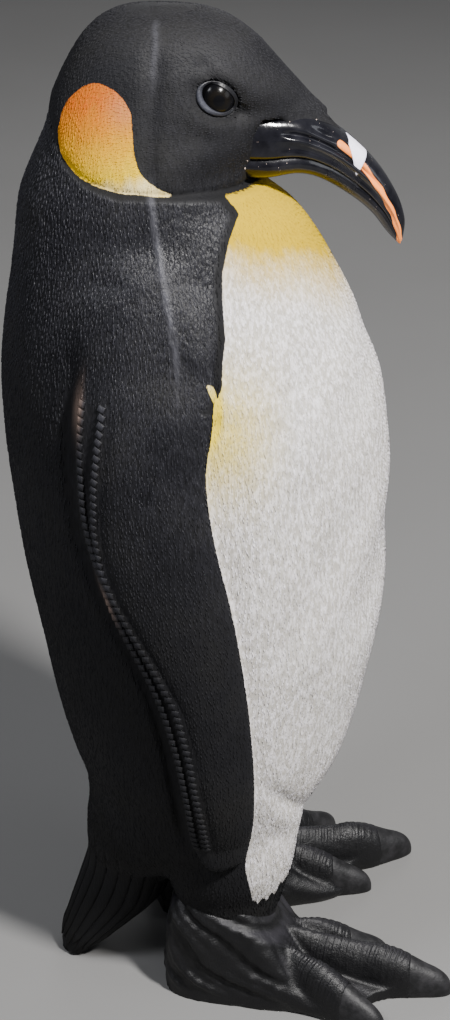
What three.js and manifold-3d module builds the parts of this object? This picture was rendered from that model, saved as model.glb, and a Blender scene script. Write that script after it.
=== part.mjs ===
// A life-size standing penguin statue, painted cast resin, as a still model.
// Millimetres, +Z up. The bird faces +X and is the same on both sides of the plane y = 0.
// The origin lies on the floor, under the middle of the whole figure.
import * as THREE from "three";
import { mergeVertices } from "three/addons/utils/BufferGeometryUtils.js";
import Module from "manifold-3d";

const wasm = await Module();
wasm.setup();

// Driving dimensions. The tables give x from a line between the ankles; middleX is where the
// middle of the whole figure lies on that line.
const gap = 0.3;
const middleX = 6.63;
const sides = { L: 1, R: -1 };

// Where the body is parted: a crease under the cheeks, the neck's foot and the waist.
const creasePoint = new THREE.Vector3(-50, 0, 807);
const creaseSlope = 0.16;
const neckFoot = 700;
const waist = 430;

// The body from the hem to the nape, in level slices: height, back, front, half width.
const bodySlices = [
  [120, -124, -10, 50],
  [130, -128, 4, 70],
  [148, -130, 26, 92],
  [165, -130, 47, 107],
  [185, -130, 70, 119],
  [215, -133, 94, 130],
  [250, -144, 111, 138],
  [300, -156, 127, 144],
  [370, -168, 140, 149],
  [440, -180, 144.5, 151],
  [510, -188, 146, 150],
  [570, -193, 142.5, 146],
  [630, -193.5, 130, 138],
  [680, -188, 112, 125],
  [715, -182, 95, 112],
  [745, -177.5, 78, 100],
  [768, -175, 61, 91],
  [790, -171, 36, 84],
  [815, -161, 24, 78],
  [860, -140, 20, 70],
];

// The head, in level slices: height, back, front, half width, how full the face is in plan.
const headSlices = [
  [775, -171, 16, 82, 2.0],
  [796, -169, 22, 82, 1.8],
  [813, -164, 34, 79, 1.45],
  [830, -158, 56, 76, 1.3],
  [847, -151, 85, 72, 1.2],
  [864, -145, 72, 68, 1.45],
  [881, -138, 57, 64, 1.75],
  [897, -130, 43, 60, 1.9],
  [912, -121, 30, 54, 2.0],
  [926, -109, 13, 45, 2.0],
  [936, -94, -7, 31, 2.0],
  [940, -76, -28, 15, 2.0],
];
const headMiddleX = -62;

// The bill: top line x and z, under line x and z, half width.
const billSlices = [
  [6, 860, 6, 798, 31],
  [30, 859, 31, 797, 33],
  [62, 852, 60, 799, 29],
  [98, 831, 82, 791, 23],
  [127, 803, 108, 773, 18],
  [145, 775, 125, 757, 13.5],
  [153, 752, 137, 741, 8.5],
  [152.5, 736, 145, 732, 4.5],
  [150.5, 728, 149, 728, 1],
];
const gapeShare = 0.36;

// The eye.
const eyeCentre = new THREE.Vector3(-13, 42.5, 879);
const eyeRadius = 17;

// The flippers: height, leading edge, trailing edge, how far the outer face stands off the body.
const flipperSlices = [
  [172, -14, -26, 5],
  [180, 4, -34, 9],
  [214, 11, -45, 14],
  [277, 11, -55, 17],
  [326, 8, -64, 17],
  [384, 2, -80, 17],
  [461, -10, -114, 17],
  [532, -25, -133, 17],
  [590, -31, -137, 17],
  [640, -24, -134, 14],
  [690, -26, -124, 9],
  [725, -42, -108, 5],
  [742, -62, -88, 2],
];

// The tail, down to the floor: height, back, front, half width.
const tailSlices = [
  [0, -164, -138, 22],
  [22, -163, -112, 32],
  [48, -156, -84, 42],
  [75, -148, -58, 52],
  [100, -140, -50, 60],
  [150, -131, -50, 80],
];

// Each feathered leg: height, back, front, half width, and the middle's distance from y = 0.
const legSlices = [
  [112, -61, 54, 49, 67],
  [135, -63, 57, 52, 67],
  [160, -66, 60, 53, 67],
  [200, -70, 63, 52, 66],
  [260, -74, 60, 48, 64],
];

// Each foot, in its own frame: it points along +u and turns out by its splay.
const footPivot = new THREE.Vector2(0, 66);
const footSplay = THREE.MathUtils.degToRad(13);
const toeFan = THREE.MathUtils.degToRad(19.5);
const toes = {
  inner: { fan: -0.9, reach: 156, height: 40, halfWidth: 18 },
  middle: { fan: 0, reach: 212, height: 42, halfWidth: 20 },
  outer: { fan: 1.2, reach: 165, height: 40, halfWidth: 18 },
};
const clawLength = 42;

// The clear tape round the bill, as shares of its length, and the torn paper label under it.
const tapeFrom = 0.36;
const tapeTo = 0.475;
const tapeThickness = 0.6;
const labelOutline = [
  [99, 827],
  [105, 834],
  [121, 820],
  [108, 797],
];

// Finishes.
function paint(color, roughness) {
  return new THREE.MeshStandardMaterial({ color, roughness, metalness: 0 });
}
const blackPaint = paint("#1b1c20", 0.55);
const whitePaint = paint("#d8d6d8", 0.7);
const footPaint = paint("#17181a", 0.4);
const billLacquer = paint("#0c0d12", 0.12);
const eyeLacquer = paint("#0a0a0a", 0.1);
const labelPaper = paint("#eeeaf0", 0.8);
const clearTape = paint("#dfe3e6", 0.15);

const group = new THREE.Group();

// A smooth curve through the rows of a table, read at any place along its first column.
function readTable(rows, at) {
  const last = rows.length - 1;
  let i = 0;
  while (i < last - 1 && at > rows[i + 1][0]) {
    i += 1;
  }
  const before = rows[Math.max(i - 1, 0)];
  const from = rows[i];
  const to = rows[i + 1];
  const after = rows[Math.min(i + 2, last)];
  const span = to[0] - from[0];
  const t = THREE.MathUtils.clamp((at - from[0]) / span, 0, 1);
  return from.map((value, k) => {
    const slopeIn = ((to[k] - before[k]) / (to[0] - before[0])) * span;
    const slopeOut = ((after[k] - from[k]) / (after[0] - from[0])) * span;
    const bend = 2 * (value - to[k]) + slopeIn + slopeOut;
    const lift = 3 * (to[k] - value) - 2 * slopeIn - slopeOut;
    return value + t * (slopeIn + t * (lift + t * bend));
  });
}

// A closed form made from a cylinder: place(v, angle, radius) says where each of its points goes.
function sweptForm(lengthSteps, roundSteps, place) {
  const geometry = new THREE.CylinderGeometry(1, 1, 1, roundSteps, lengthSteps);
  geometry.deleteAttribute("normal");
  geometry.deleteAttribute("uv");
  const points = geometry.getAttribute("position");
  for (let i = 0; i < points.count; i += 1) {
    const radius = Math.min(1, Math.hypot(points.getX(i), points.getZ(i)));
    const angle = Math.atan2(points.getZ(i), points.getX(i));
    const p = place(points.getY(i) + 0.5, angle, radius > 0.5 ? 1 : 0);
    points.setXYZ(i, p.x, p.y, p.z);
  }
  return solidOf(mergeVertices(geometry, 1e-3));
}

// A merged geometry as a solid, with its faces turned outwards.
function solidOf(geometry) {
  const p = geometry.getAttribute("position");
  const triVerts = new Uint32Array(geometry.index.array);
  const [a, b, c] = [new THREE.Vector3(), new THREE.Vector3(), new THREE.Vector3()];
  let volume = 0;
  for (let i = 0; i < triVerts.length; i += 3) {
    a.fromBufferAttribute(p, triVerts[i]);
    b.fromBufferAttribute(p, triVerts[i + 1]);
    c.fromBufferAttribute(p, triVerts[i + 2]);
    volume += a.dot(b.cross(c));
  }
  if (volume < 0) {
    triVerts.reverse();
  }
  return new wasm.Manifold(
    new wasm.Mesh({ numProp: 3, vertProperties: new Float32Array(p.array), triVerts }),
  );
}

// Adds a solid to the figure as a named node.
function addNode(name, solid, material) {
  const mesh = solid.getMesh();
  const geometry = new THREE.BufferGeometry();
  geometry.setAttribute("position", new THREE.BufferAttribute(mesh.vertProperties, 3));
  geometry.setIndex(new THREE.BufferAttribute(mesh.triVerts, 1));
  geometry.translate(-middleX, 0, 0);
  geometry.computeVertexNormals();
  const node = new THREE.Mesh(geometry, material);
  node.name = name;
  group.add(node);
}

// A very large box, placed by a matrix, that cuts away one side of a plane.
function cuttingBox(centre, turnY = 0, turnZ = 0) {
  const size = 1200;
  const geometry = new THREE.BoxGeometry(size, size, size);
  geometry.deleteAttribute("normal");
  geometry.deleteAttribute("uv");
  geometry.translate(0, 0, size / 2);
  geometry.rotateY(turnY);
  geometry.rotateZ(turnZ);
  geometry.translate(centre.x, centre.y, centre.z);
  return solidOf(mergeVertices(geometry, 1e-3));
}

function above(height) {
  return cuttingBox(new THREE.Vector3(0, 0, height));
}

// The side of a slanted crease plane that holds the head.
function aboveCrease(raise) {
  const centre = creasePoint.clone();
  centre.z += raise;
  return cuttingBox(centre, Math.atan(creaseSlope));
}

// A power of sine or cosine that keeps its sign: 1 gives an ellipse, less gives a fuller outline.
function signedPower(value, power) {
  return Math.sign(value) * Math.abs(value) ** power;
}

// A point on a level slice between a back and a front line.
function slicePoint(angle, radius, middle, back, front, half, power = 1) {
  const forward = Math.cos(angle) > 0;
  const reach = forward ? front - middle : middle - back;
  const bend = forward ? power : 1;
  const x = middle + radius * reach * signedPower(Math.cos(angle), bend);
  const y = radius * half * signedPower(Math.sin(angle), bend);
  return [x, y];
}

function bodyForm(spread) {
  const low = bodySlices[0][0];
  const high = bodySlices[bodySlices.length - 1][0];
  return sweptForm(24, 28, (v, angle, radius) => {
    const z = THREE.MathUtils.lerp(low, high, v);
    const [, back, front, half] = readTable(bodySlices, z);
    const middle = (back + front) / 2;
    const [x, y] = slicePoint(angle, radius, middle, back - spread, front + spread, half + spread);
    return new THREE.Vector3(x, y, z);
  });
}

function headForm(spread) {
  const low = headSlices[0][0];
  const high = headSlices[headSlices.length - 1][0];
  return sweptForm(16, 24, (v, angle, radius) => {
    const z = THREE.MathUtils.lerp(low, high, Math.sin((v * Math.PI) / 2) ** 0.9);
    const [, back, front, half, fullness] = readTable(headSlices, z);
    const middle = Math.min(headMiddleX, (back + front) / 2 + 6);
    const [x, y] = slicePoint(
      angle, radius, middle, back - spread, front + spread, half + spread, 2 / fullness,
    );
    return new THREE.Vector3(x, y, z);
  });
}

// A point of the bill: v runs from its root to its tip.
function billPoint(v, angle, radius, spread) {
  const rows = billSlices.map((row, i) => [i / (billSlices.length - 1), ...row]);
  const [, topX, topZ, lowX, lowZ, half] = readTable(rows, v);
  const lift = radius * Math.sin(angle);
  const reach = Math.hypot(topX - lowX, topZ - lowZ) / 2;
  const scale = 0.5 * (1 + spread / reach) * lift;
  return new THREE.Vector3(
    (topX + lowX) / 2 + (topX - lowX) * scale,
    (half + spread) * radius * Math.cos(angle),
    (topZ + lowZ) / 2 + (topZ - lowZ) * scale,
  );
}

function billForm(spread, from = 0, to = 1) {
  const steps = Math.max(2, Math.round(20 * (to - from)));
  return sweptForm(steps, 16, (v, angle, radius) =>
    billPoint(THREE.MathUtils.lerp(from, to, v), angle, radius, spread),
  );
}

// The label's outline as a block that runs out to the bird's right from its middle plane.
function labelBlock(spread) {
  const outline = labelOutline.map((corner) => new THREE.Vector2(...corner));
  const middle = outline
    .reduce((sum, corner) => sum.add(corner), new THREE.Vector2())
    .divideScalar(outline.length);
  const grown = outline.map((corner) => {
    const arm = corner.clone().sub(middle);
    return arm.setLength(arm.length() + 2 * spread).add(middle);
  });
  const geometry = new THREE.ExtrudeGeometry(new THREE.Shape(grown), {
    depth: 40,
    bevelEnabled: false,
  });
  geometry.deleteAttribute("normal");
  geometry.deleteAttribute("uv");
  geometry.rotateX(Math.PI / 2);
  return solidOf(mergeVertices(geometry, 1e-3));
}

// Half the body's width at a height and a place along x, for what lies on its side.
function bodySide(x, z) {
  const [, back, front, half] = readTable(bodySlices, z);
  const middle = (back + front) / 2;
  const share = THREE.MathUtils.clamp((x - middle) / ((front - back) / 2), -0.97, 0.97);
  return half * Math.sqrt(1 - share * share);
}

function flipperForm(side) {
  const low = flipperSlices[0][0];
  const high = flipperSlices[flipperSlices.length - 1][0];
  const inset = 14;
  return sweptForm(20, 12, (v, angle, radius) => {
    const z = THREE.MathUtils.lerp(low, high, v);
    const [, lead, trail, stand] = readTable(flipperSlices, z);
    const across = radius * Math.cos(angle);
    const x = (lead + trail) / 2 + ((lead - trail) / 2) * across;
    const edge = Math.sqrt(Math.max(0, 1 - across * across));
    const outward = radius * Math.sin(angle) > 0;
    const ground = bodySide(x, Math.max(z, 200));
    const y = outward ? ground + stand * (0.45 + 0.55 * edge) : ground - inset * edge;
    return new THREE.Vector3(x, side * y, z);
  });
}

function tailForm() {
  const low = tailSlices[0][0];
  const high = tailSlices[tailSlices.length - 1][0];
  return sweptForm(8, 16, (v, angle, radius) => {
    const z = THREE.MathUtils.lerp(low, high, v);
    const [, back, front, half] = readTable(tailSlices, z);
    const [x, y] = slicePoint(angle, radius, (back + front) / 2, back, front, half);
    return new THREE.Vector3(x, y, z);
  });
}

function legForm(side, spread = 0) {
  const low = legSlices[0][0] - spread;
  const high = legSlices[legSlices.length - 1][0];
  return sweptForm(7, 20, (v, angle, radius) => {
    const z = THREE.MathUtils.lerp(low, high, v);
    const [, back, front, half, out] = readTable(legSlices, z);
    const middle = (back + front) / 2;
    const [x, y] = slicePoint(angle, radius, middle, back - spread, front + spread, half + spread);
    return new THREE.Vector3(x, side * (out + y), z);
  });
}

// From a foot's own frame (forward, outward, up) to the figure's.
function footPoint(side, u, w, z) {
  const x = footPivot.x + u * Math.cos(footSplay) - w * Math.sin(footSplay);
  const y = footPivot.y + u * Math.sin(footSplay) + w * Math.cos(footSplay);
  return new THREE.Vector3(x, side * y, z);
}

// The heel and the high instep: distance forward, half width, top height.
const footSlices = [
  [-63, 10, 46],
  [-60, 21, 80],
  [-51, 33, 104],
  [-28, 44, 111],
  [5, 49, 108],
  [36, 52, 88],
  [66, 57, 62],
  [95, 59, 42],
  [118, 52, 28],
  [130, 42, 17],
];

// A height on a rounded section whose lower part runs under the floor, to be cut flat there.
function soleHeight(top, lift) {
  return top * (0.36 + (lift > 0 ? 0.64 : 0.85) * lift);
}

function instepForm(side) {
  const low = footSlices[0][0];
  const high = footSlices[footSlices.length - 1][0];
  return sweptForm(12, 14, (v, angle, radius) => {
    const u = THREE.MathUtils.lerp(low, high, v);
    const [, half, top] = readTable(footSlices, u);
    const w = radius * half * Math.cos(angle);
    return footPoint(side, u, w, soleHeight(top, radius * Math.sin(angle)));
  });
}

// A toe along its own ray: v = 0 in the instep, v = 1 at the claw's tip.
function toeForm(side, toe, from, to, spread = 0) {
  const heading = toe.fan * toeFan;
  return sweptForm(6, 9, (v, angle, radius) => {
    const s = THREE.MathUtils.lerp(from, to, v);
    const left = THREE.MathUtils.clamp((toe.reach - s) / 24, 0.0004, 1);
    const round = Math.sqrt(1 - (1 - left) ** 2);
    const along = THREE.MathUtils.clamp((s - 50) / (toe.reach - 50), 0, 1);
    const fall = THREE.MathUtils.lerp(toe.height + 14, toe.height - 7, along);
    const top = fall * (0.35 + 0.65 * round) + spread;
    const half = toe.halfWidth * (0.12 + 0.88 * round) + spread;
    const across = radius * half * Math.cos(angle);
    const u = s * Math.cos(heading) - across * Math.sin(heading);
    const w = s * Math.sin(heading) + across * Math.cos(heading);
    return footPoint(side, u, w, soleHeight(top, radius * Math.sin(angle)));
  });
}

// The part of the bill under its mouth line, as a cutter that runs past both ends.
function underGape(raise) {
  const rows = billSlices.map((row, i) => [i / (billSlices.length - 1), ...row]);
  return sweptForm(20, 4, (v, angle, radius) => {
    const [, topX, topZ, lowX, lowZ] = readTable(rows, v);
    const overshoot = (v === 0 ? -4 : 0) + (v === 1 ? 4 : 0);
    const upper = Math.sin(angle + Math.PI / 4) > 0;
    const outward = Math.cos(angle + Math.PI / 4) > 0 ? 1 : -1;
    const x = THREE.MathUtils.lerp(lowX, topX, gapeShare);
    const z = THREE.MathUtils.lerp(lowZ, topZ, gapeShare) + raise;
    const drop = upper ? 0 : 60;
    return new THREE.Vector3(
      x + overshoot * 0.5 - drop * 0.5,
      radius * outward * 60,
      z - Math.max(0, overshoot) - drop,
    );
  });
}

// Head, bill and eyes.
const wholeBill = billForm(0);
let head = headForm(0).intersect(aboveCrease(0)).subtract(billForm(gap));
const eyeOf = {};
for (const [name, side] of Object.entries(sides)) {
  const ball = (radius) => {
    const geometry = new THREE.SphereGeometry(radius, 14, 7);
    geometry.deleteAttribute("normal");
    geometry.deleteAttribute("uv");
    geometry.translate(eyeCentre.x, side * eyeCentre.y, eyeCentre.z);
    return solidOf(mergeVertices(geometry, 1e-3));
  };
  eyeOf[name] = ball(eyeRadius);
  head = head.subtract(ball(eyeRadius + gap));
}
addNode("head", head, blackPaint);
for (const name of Object.keys(sides)) {
  addNode("eye_" + name, eyeOf[name], eyeLacquer);
}
addNode("bill_upper", wholeBill.subtract(underGape(gap)), billLacquer);
addNode("bill_lower", wholeBill.intersect(underGape(0)), billLacquer);

// The label lies on the bill's right side, in a window of the tape that runs round the bill.
const band = billForm(gap + tapeThickness, tapeFrom, tapeTo).subtract(billForm(gap));
addNode("label_tape", band.subtract(labelBlock(gap)), clearTape);
addNode("label_paper", band.intersect(labelBlock(0)), labelPaper);

// Neck and trunk.
const flesh = bodyForm(0);
const fleshClear = bodyForm(gap);
const neckCut = above(neckFoot);
const waistCut = above(waist);
addNode("neck", flesh.intersect(neckCut).subtract(aboveCrease(-gap)), blackPaint);
addNode(
  "trunk_upper",
  flesh.intersect(waistCut).subtract(above(neckFoot - gap)),
  whitePaint,
);
addNode("trunk_lower", flesh.subtract(above(waist - gap)), whitePaint);

// Tail, flippers, legs and feet.
const floor = above(0);
let tail = tailForm().subtract(fleshClear);
for (const [name, side] of Object.entries(sides)) {
  const legClear = legForm(side, gap);
  tail = tail.subtract(legClear);
  addNode("leg_" + name, legForm(side).subtract(fleshClear), whitePaint);
  addNode("flipper_" + name, flipperForm(side).subtract(fleshClear).subtract(legClear), blackPaint);
  let foot = instepForm(side);
  for (const toe of Object.values(toes)) {
    foot = foot.add(toeForm(side, toe, 30, toe.reach - clawLength));
  }
  for (const [kind, toe] of Object.entries(toes)) {
    const clawRoot = toe.reach - clawLength;
    const claw = toeForm(side, toe, clawRoot, toe.reach);
    addNode("claw_" + name + "_" + kind, claw.intersect(floor), footPaint);
    foot = foot.subtract(toeForm(side, toe, clawRoot - gap, toe.reach + gap, gap));
  }
  addNode("foot_" + name, foot.intersect(floor).subtract(legClear), footPaint);
}
addNode("tail", tail.intersect(floor), blackPaint);

export default group;
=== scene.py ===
"""The looks of a life-size painted penguin statue: skin, feather relief, bill, eyes, feet and label."""
import math

import bmesh
import bpy
import numpy as np
from bpy.props import FloatProperty, FloatVectorProperty, IntProperty, PointerProperty
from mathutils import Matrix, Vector
from mathutils.kdtree import KDTree


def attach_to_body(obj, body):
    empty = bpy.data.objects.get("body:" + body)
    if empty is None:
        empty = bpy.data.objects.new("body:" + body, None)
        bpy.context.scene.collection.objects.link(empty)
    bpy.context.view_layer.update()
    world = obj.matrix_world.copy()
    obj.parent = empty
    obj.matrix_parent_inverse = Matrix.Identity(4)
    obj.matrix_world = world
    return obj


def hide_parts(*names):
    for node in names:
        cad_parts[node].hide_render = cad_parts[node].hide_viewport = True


bl_info = {
    "name": "Penguin Statue",
    "version": (1, 0, 0),
    "blender": (4, 5, 0),
    "location": "View3D > Sidebar > Statue",
    "description": "Builds the skin, feather relief, bill, eyes, feet, label and stage of a penguin statue",
    "category": "Object",
}

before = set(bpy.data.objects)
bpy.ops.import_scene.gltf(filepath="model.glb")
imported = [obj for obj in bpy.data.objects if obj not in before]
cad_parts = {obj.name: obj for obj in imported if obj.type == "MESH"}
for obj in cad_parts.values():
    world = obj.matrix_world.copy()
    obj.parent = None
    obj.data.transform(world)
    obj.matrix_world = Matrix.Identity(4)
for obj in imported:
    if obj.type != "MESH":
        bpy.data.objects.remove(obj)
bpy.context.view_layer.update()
BODY = "root"
MM = 0.001
SIDES = {"L": 1.0, "R": -1.0}

# Shape tables, in millimetres. They give x from a line between the ankles, and MIDDLE_X is where
# the middle of the whole figure, the frame's own origin, lies on that line.
MIDDLE_X = 6.63

# The body: height, back, front, half width.
BODY_SLICES = [
    (120, -124, -10, 50),
    (130, -128, 4, 70),
    (148, -130, 26, 92),
    (165, -130, 47, 107),
    (185, -130, 70, 119),
    (215, -133, 94, 130),
    (250, -144, 111, 138),
    (300, -156, 127, 144),
    (370, -168, 140, 149),
    (440, -180, 144.5, 151),
    (510, -188, 146, 150),
    (570, -193, 142.5, 146),
    (630, -193.5, 130, 138),
    (680, -188, 112, 125),
    (715, -182, 95, 112),
    (745, -177.5, 78, 100),
    (768, -175, 61, 91),
    (790, -171, 36, 84),
    (815, -161, 24, 78),
    (860, -140, 20, 70),
]

# The head: height, back, front, half width, how full the face is in plan.
HEAD_SLICES = [
    (775, -171, 16, 82, 2.0),
    (796, -169, 22, 82, 1.8),
    (813, -164, 34, 79, 1.45),
    (830, -158, 56, 76, 1.3),
    (847, -151, 85, 72, 1.2),
    (864, -145, 72, 68, 1.45),
    (881, -138, 57, 64, 1.75),
    (897, -130, 43, 60, 1.9),
    (912, -121, 30, 54, 2.0),
    (920, -115, 21, 49.5, 2.0),
    (927, -108, 12, 44, 2.0),
    (932.5, -101, 3, 37, 2.0),
    (936.5, -93, -7, 30, 2.0),
    (939.2, -84, -17, 21.5, 2.0),
    (941, -71, -31, 10, 2.0),
    (941.6, -58, -45, 4, 2.0),
]
HEAD_MIDDLE_X = -62

# The tail, down to the floor: height, back, front, half width.
TAIL_SLICES = [
    (0, -162, -138, 22),
    (22, -159, -112, 32),
    (48, -151, -84, 42),
    (75, -142, -58, 51),
    (100, -134, -50, 58),
    (150, -121, -50, 72),
]

# Each feathered leg: height, back, front, half width, distance of its middle from y = 0.
LEG_SLICES = [
    (80, -46, 42, 36, 67),
    (96, -51, 46, 38.5, 67),
    (112, -57, 50, 42, 67),
    (135, -63, 56, 50, 67),
    (160, -66, 60, 53, 67),
    (200, -70, 63, 52, 66),
    (260, -74, 60, 48, 64),
]

# Each flipper: height, leading edge, trailing edge, how far the outer face stands off the body.
FLIPPER_SLICES = [
    (172, -14, -26, 5),
    (180, 4, -34, 9),
    (214, 11, -45, 14),
    (277, 11, -55, 17),
    (326, 8, -64, 17),
    (384, 2, -80, 17),
    (461, -10, -114, 17),
    (532, -25, -133, 17),
    (590, -31, -137, 17),
    (640, -24, -134, 14),
    (690, -26, -124, 9),
    (725, -42, -108, 5),
    (742, -62, -88, 2),
]

# The bill, from root to tip: top line x and z, under line x and z, half width.
BILL_SLICES = [
    (6, 860, 6, 798, 34),
    (30, 859, 31, 797, 35),
    (62, 852, 60, 799, 30),
    (98, 831, 82, 791, 23),
    (127, 803, 108, 773, 18),
    (145, 775, 125, 757, 13.5),
    (153, 752, 137, 741, 8.5),
    (152.5, 736, 145, 732, 4.5),
    (150.5, 728, 149, 728, 1),
]
GAPE_SHARE = 0.36

# Where the feathers end on the bill: down its base (height, x) and along its top (x, height).
BILL_BASE = [
    (798, 31), (803, 28), (819, 23), (829, 19), (842, 20), (854, 27),
]
BILL_TOP_EDGE = [
    (18, 856), (27, 854), (58, 849), (77, 842), (97, 830),
]
TAPE_SPAN = (0.36, 0.475)

# The eye: its ball, and the slant of the opening between the lids.
EYE_CENTRE = np.array([-12.0, 42.5, 879.0])
EYE_RADIUS = 17.0
EYE_SLANT = math.radians(37)
OPENING_CENTRE = (-10.8, 880.0)

# Each foot, in its own frame: distance forward, half width, top height of heel and instep.
FOOT_PIVOT_Y = 66
FOOT_SPLAY = math.radians(13)
TOE_FAN = math.radians(19.5)
TOE_ROOT = 30
RING_LEAN = 0.35
FOOT_SLICES = [
    (-63, 14, 50),
    (-60, 25, 82),
    (-51, 36, 106),
    (-28, 44, 117),
    (5, 47, 116),
    (36, 50, 88),
    (66, 54, 50),
    (95, 56, 30),
    (118, 50, 19),
    (130, 40, 12),
]
# The toes: share of the fan, reach, height, half width.
TOES = {
    "inner": (-0.9, 156, 40, 16.5),
    "middle": (0.0, 212, 42, 18),
    "outer": (1.2, 165, 40, 16.5),
}
CLAW_LENGTH = 42

# Where the head overhangs the neck: x along the side, height.
CREASE_LINE = [
    (-152, 868), (-143, 848), (-136, 830), (-119, 817), (-96, 810), (-60, 808),
    (-27, 804), (3, 798), (30, 793), (90, 790),
]

# The edge between the black back and the pale front: height, x. It runs up the leg, hides under
# the flipper, comes out over a small spike and bounds the collar.
FRONT_BORDER = [
    (100, 16), (118, 15), (136, 12), (167, 6), (186, 8), (205, 2), (240, -20),
    (300, -35), (600, -35), (644, -32), (652, -20), (662, -16), (681, -15),
    (699, -12), (727, -13), (747, -12), (770, -5), (786, 5), (799, -6), (808, -14),
]

# The patch behind each cheek, seen from the side: x, height.
EAR_OUTLINE = [
    (-111, 893), (-129, 877), (-138, 855), (-138, 838), (-132, 827), (-118, 817),
    (-96, 811), (-74, 809), (-50, 807), (-64, 816), (-75, 826), (-80, 842),
    (-81, 862), (-83, 877), (-94, 890),
]

# Where the yellow of the chest has faded: x, height.
YELLOW_END = [
    (-20, 750), (0, 746), (20, 736), (57, 727), (87, 708), (140, 688),
]

# The raised line of scales inside each flipper's trailing edge: height, x.
ROPE_LINE = [
    (162, -24), (200, -31), (239, -37), (279, -44), (316, -49), (367, -60),
    (411, -80), (449, -100), (471, -111), (497, -120), (537, -125), (575, -124),
    (611, -120), (640, -115),
]

# The mould's parting line down each side: height, x.
SEAM_LINE = [
    (640, -52), (675, -53), (701, -55), (731, -59), (755, -62), (786, -66),
    (806, -68), (860, -66), (909, -62), (942, -58),
]


def read_table(rows, at):
    """Reads a table's columns at many places along its first column, on a smooth curve."""
    rows = np.asarray(rows, float)
    last = len(rows) - 1
    at = np.asarray(at, float)
    shape = at.shape
    at = at.ravel()
    i = np.clip(np.searchsorted(rows[:, 0], at) - 1, 0, last - 1)
    before = rows[np.maximum(i - 1, 0)]
    start = rows[i]
    end = rows[i + 1]
    after = rows[np.minimum(i + 2, last)]
    span = end[:, :1] - start[:, :1]
    t = np.clip((at[:, None] - start[:, :1]) / span, 0.0, 1.0)
    slope_in = (end - before) / (end[:, :1] - before[:, :1]) * span
    slope_out = (after - start) / (after[:, :1] - start[:, :1]) * span
    bend = 2 * (start - end) + slope_in + slope_out
    lift = 3 * (end - start) - 2 * slope_in - slope_out
    value = start + t * (slope_in + t * (lift + t * bend))
    return [value[:, k].reshape(shape) for k in range(1, rows.shape[1])]


def read_line(rows, at):
    """Reads a two-column table at many places, in straight steps."""
    rows = np.asarray(rows, float)
    return np.interp(at, rows[:, 0], rows[:, 1])


def held_table(rows, at):
    """Reads a table's columns, held at its first and last rows beyond them."""
    return read_table(rows, np.clip(at, rows[0][0], rows[-1][0]))


def smooth_step(low, high, value):
    t = np.clip((value - low) / (high - low), 0.0, 1.0)
    return t * t * (3 - 2 * t)


def smooth_join(a, b, width):
    """The union of two distances with a fillet of about that width."""
    h = np.maximum(width - np.abs(a - b), 0.0) / width
    return np.minimum(a, b) - h * h * width * 0.25


def hill(value, middle, spread):
    return np.exp(-(((value - middle) / spread) ** 2))


def halve(low, high, inside, rounds):
    """Narrows bounds to a surface, where inside(middle) is true up to it."""
    for _ in range(rounds):
        middle = (low + high) / 2
        within = inside(middle)
        low, high = np.where(within, middle, low), np.where(within, high, middle)
    return low


# ---- The statue as a distance in millimetres: below zero inside, above zero outside ----
def oval_size(a, b, half_a, half_b, power):
    """A place's size against a rounded section, one on its outline, and how steeply it grows."""
    u = np.abs(a) / half_a + 1e-6
    v = np.abs(b) / half_b + 1e-6
    size = (u**power + v**power) ** (1 / power)
    return size, size ** (1 - power) * np.hypot(u ** (power - 1) / half_a, v ** (power - 1) / half_b)


def cut_ends(distance, at, low, high):
    """Distance to a form that ends, cut flat, at low and high."""
    beyond = np.maximum(low - at, at - high)
    return np.where(beyond > 0, np.hypot(np.maximum(distance, 0), beyond), distance)


def slice_distance(x, y, z, rows, middle=None, full_front=False, columns=None):
    """Distance to a form given by level slices: back, front and half width at each height."""
    if columns is None:
        columns = held_table(rows, z)
    back, front, half = columns[:3]
    centre = (back + front) / 2
    if middle is not None:
        centre = np.minimum(middle, centre + 6)
    power = np.where(x > centre, columns[3], 2.0) if full_front else 2.0
    reach = np.where(x > centre, front - centre, centre - back)
    size, steep = oval_size(x - centre, y, reach, half, power)
    if full_front:
        narrowing = held_table(rows, z + 0.5)[2] - held_table(rows, z - 0.5)[2]
        steep = steep * np.hypot(1.0, np.clip(narrowing, -6, 0))
    return cut_ends((size - 1) / steep, z, rows[0][0], rows[-1][0])


def body_side(x, z):
    """Half the body's width at a place on its side."""
    back, front, half = read_table(BODY_SLICES, z)
    centre = (back + front) / 2
    share = np.clip((x - centre) / ((front - back) / 2), -0.97, 0.97)
    return half * np.sqrt(1 - share * share)


def flipper_distance(x, y, z):
    """A plate that lies along the body's side, thickest in its middle, with a rim and a ridge behind."""
    lead, trail, stand = held_table(FLIPPER_SLICES, z)
    half = (lead - trail) / 2
    across = (x - (lead + trail) / 2) / half
    edge = np.sqrt(np.maximum(1 - np.clip(across, -1, 1) ** 2, 0))
    ground = body_side(x, np.maximum(z, 200))
    lined = smooth_step(185, 225, z) * smooth_step(668, 630, z)
    rope = read_line(ROPE_LINE, z)
    edging = 2.6 * hill(x, trail + 2.6, 2.6) + 2.0 * hill(x, rope, 2.8)
    edging = edging - 1.2 * hill(x, (rope + trail) / 2 + 1.3, 2.4) - 1.3 * hill(x, rope + 6.5, 3.4)
    top = ground + stand * (0.45 + 0.55 * edge) + edging * lined
    bottom = ground - 10
    rim = (np.abs(across) - 1) * half
    face = np.abs(y - (top + bottom) / 2) - (top - bottom) / 2
    blunt = 2.2
    inner = np.minimum(np.maximum(rim, face) + blunt, 0)
    outer = np.hypot(np.maximum(rim + blunt, 0), np.maximum(face + blunt, 0))
    return cut_ends(inner + outer - blunt, z, FLIPPER_SLICES[0][0], FLIPPER_SLICES[-1][0])


def above_crease(x, z):
    """Height above the line under the cheek, along the side."""
    return z - read_line(CREASE_LINE, x)


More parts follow.
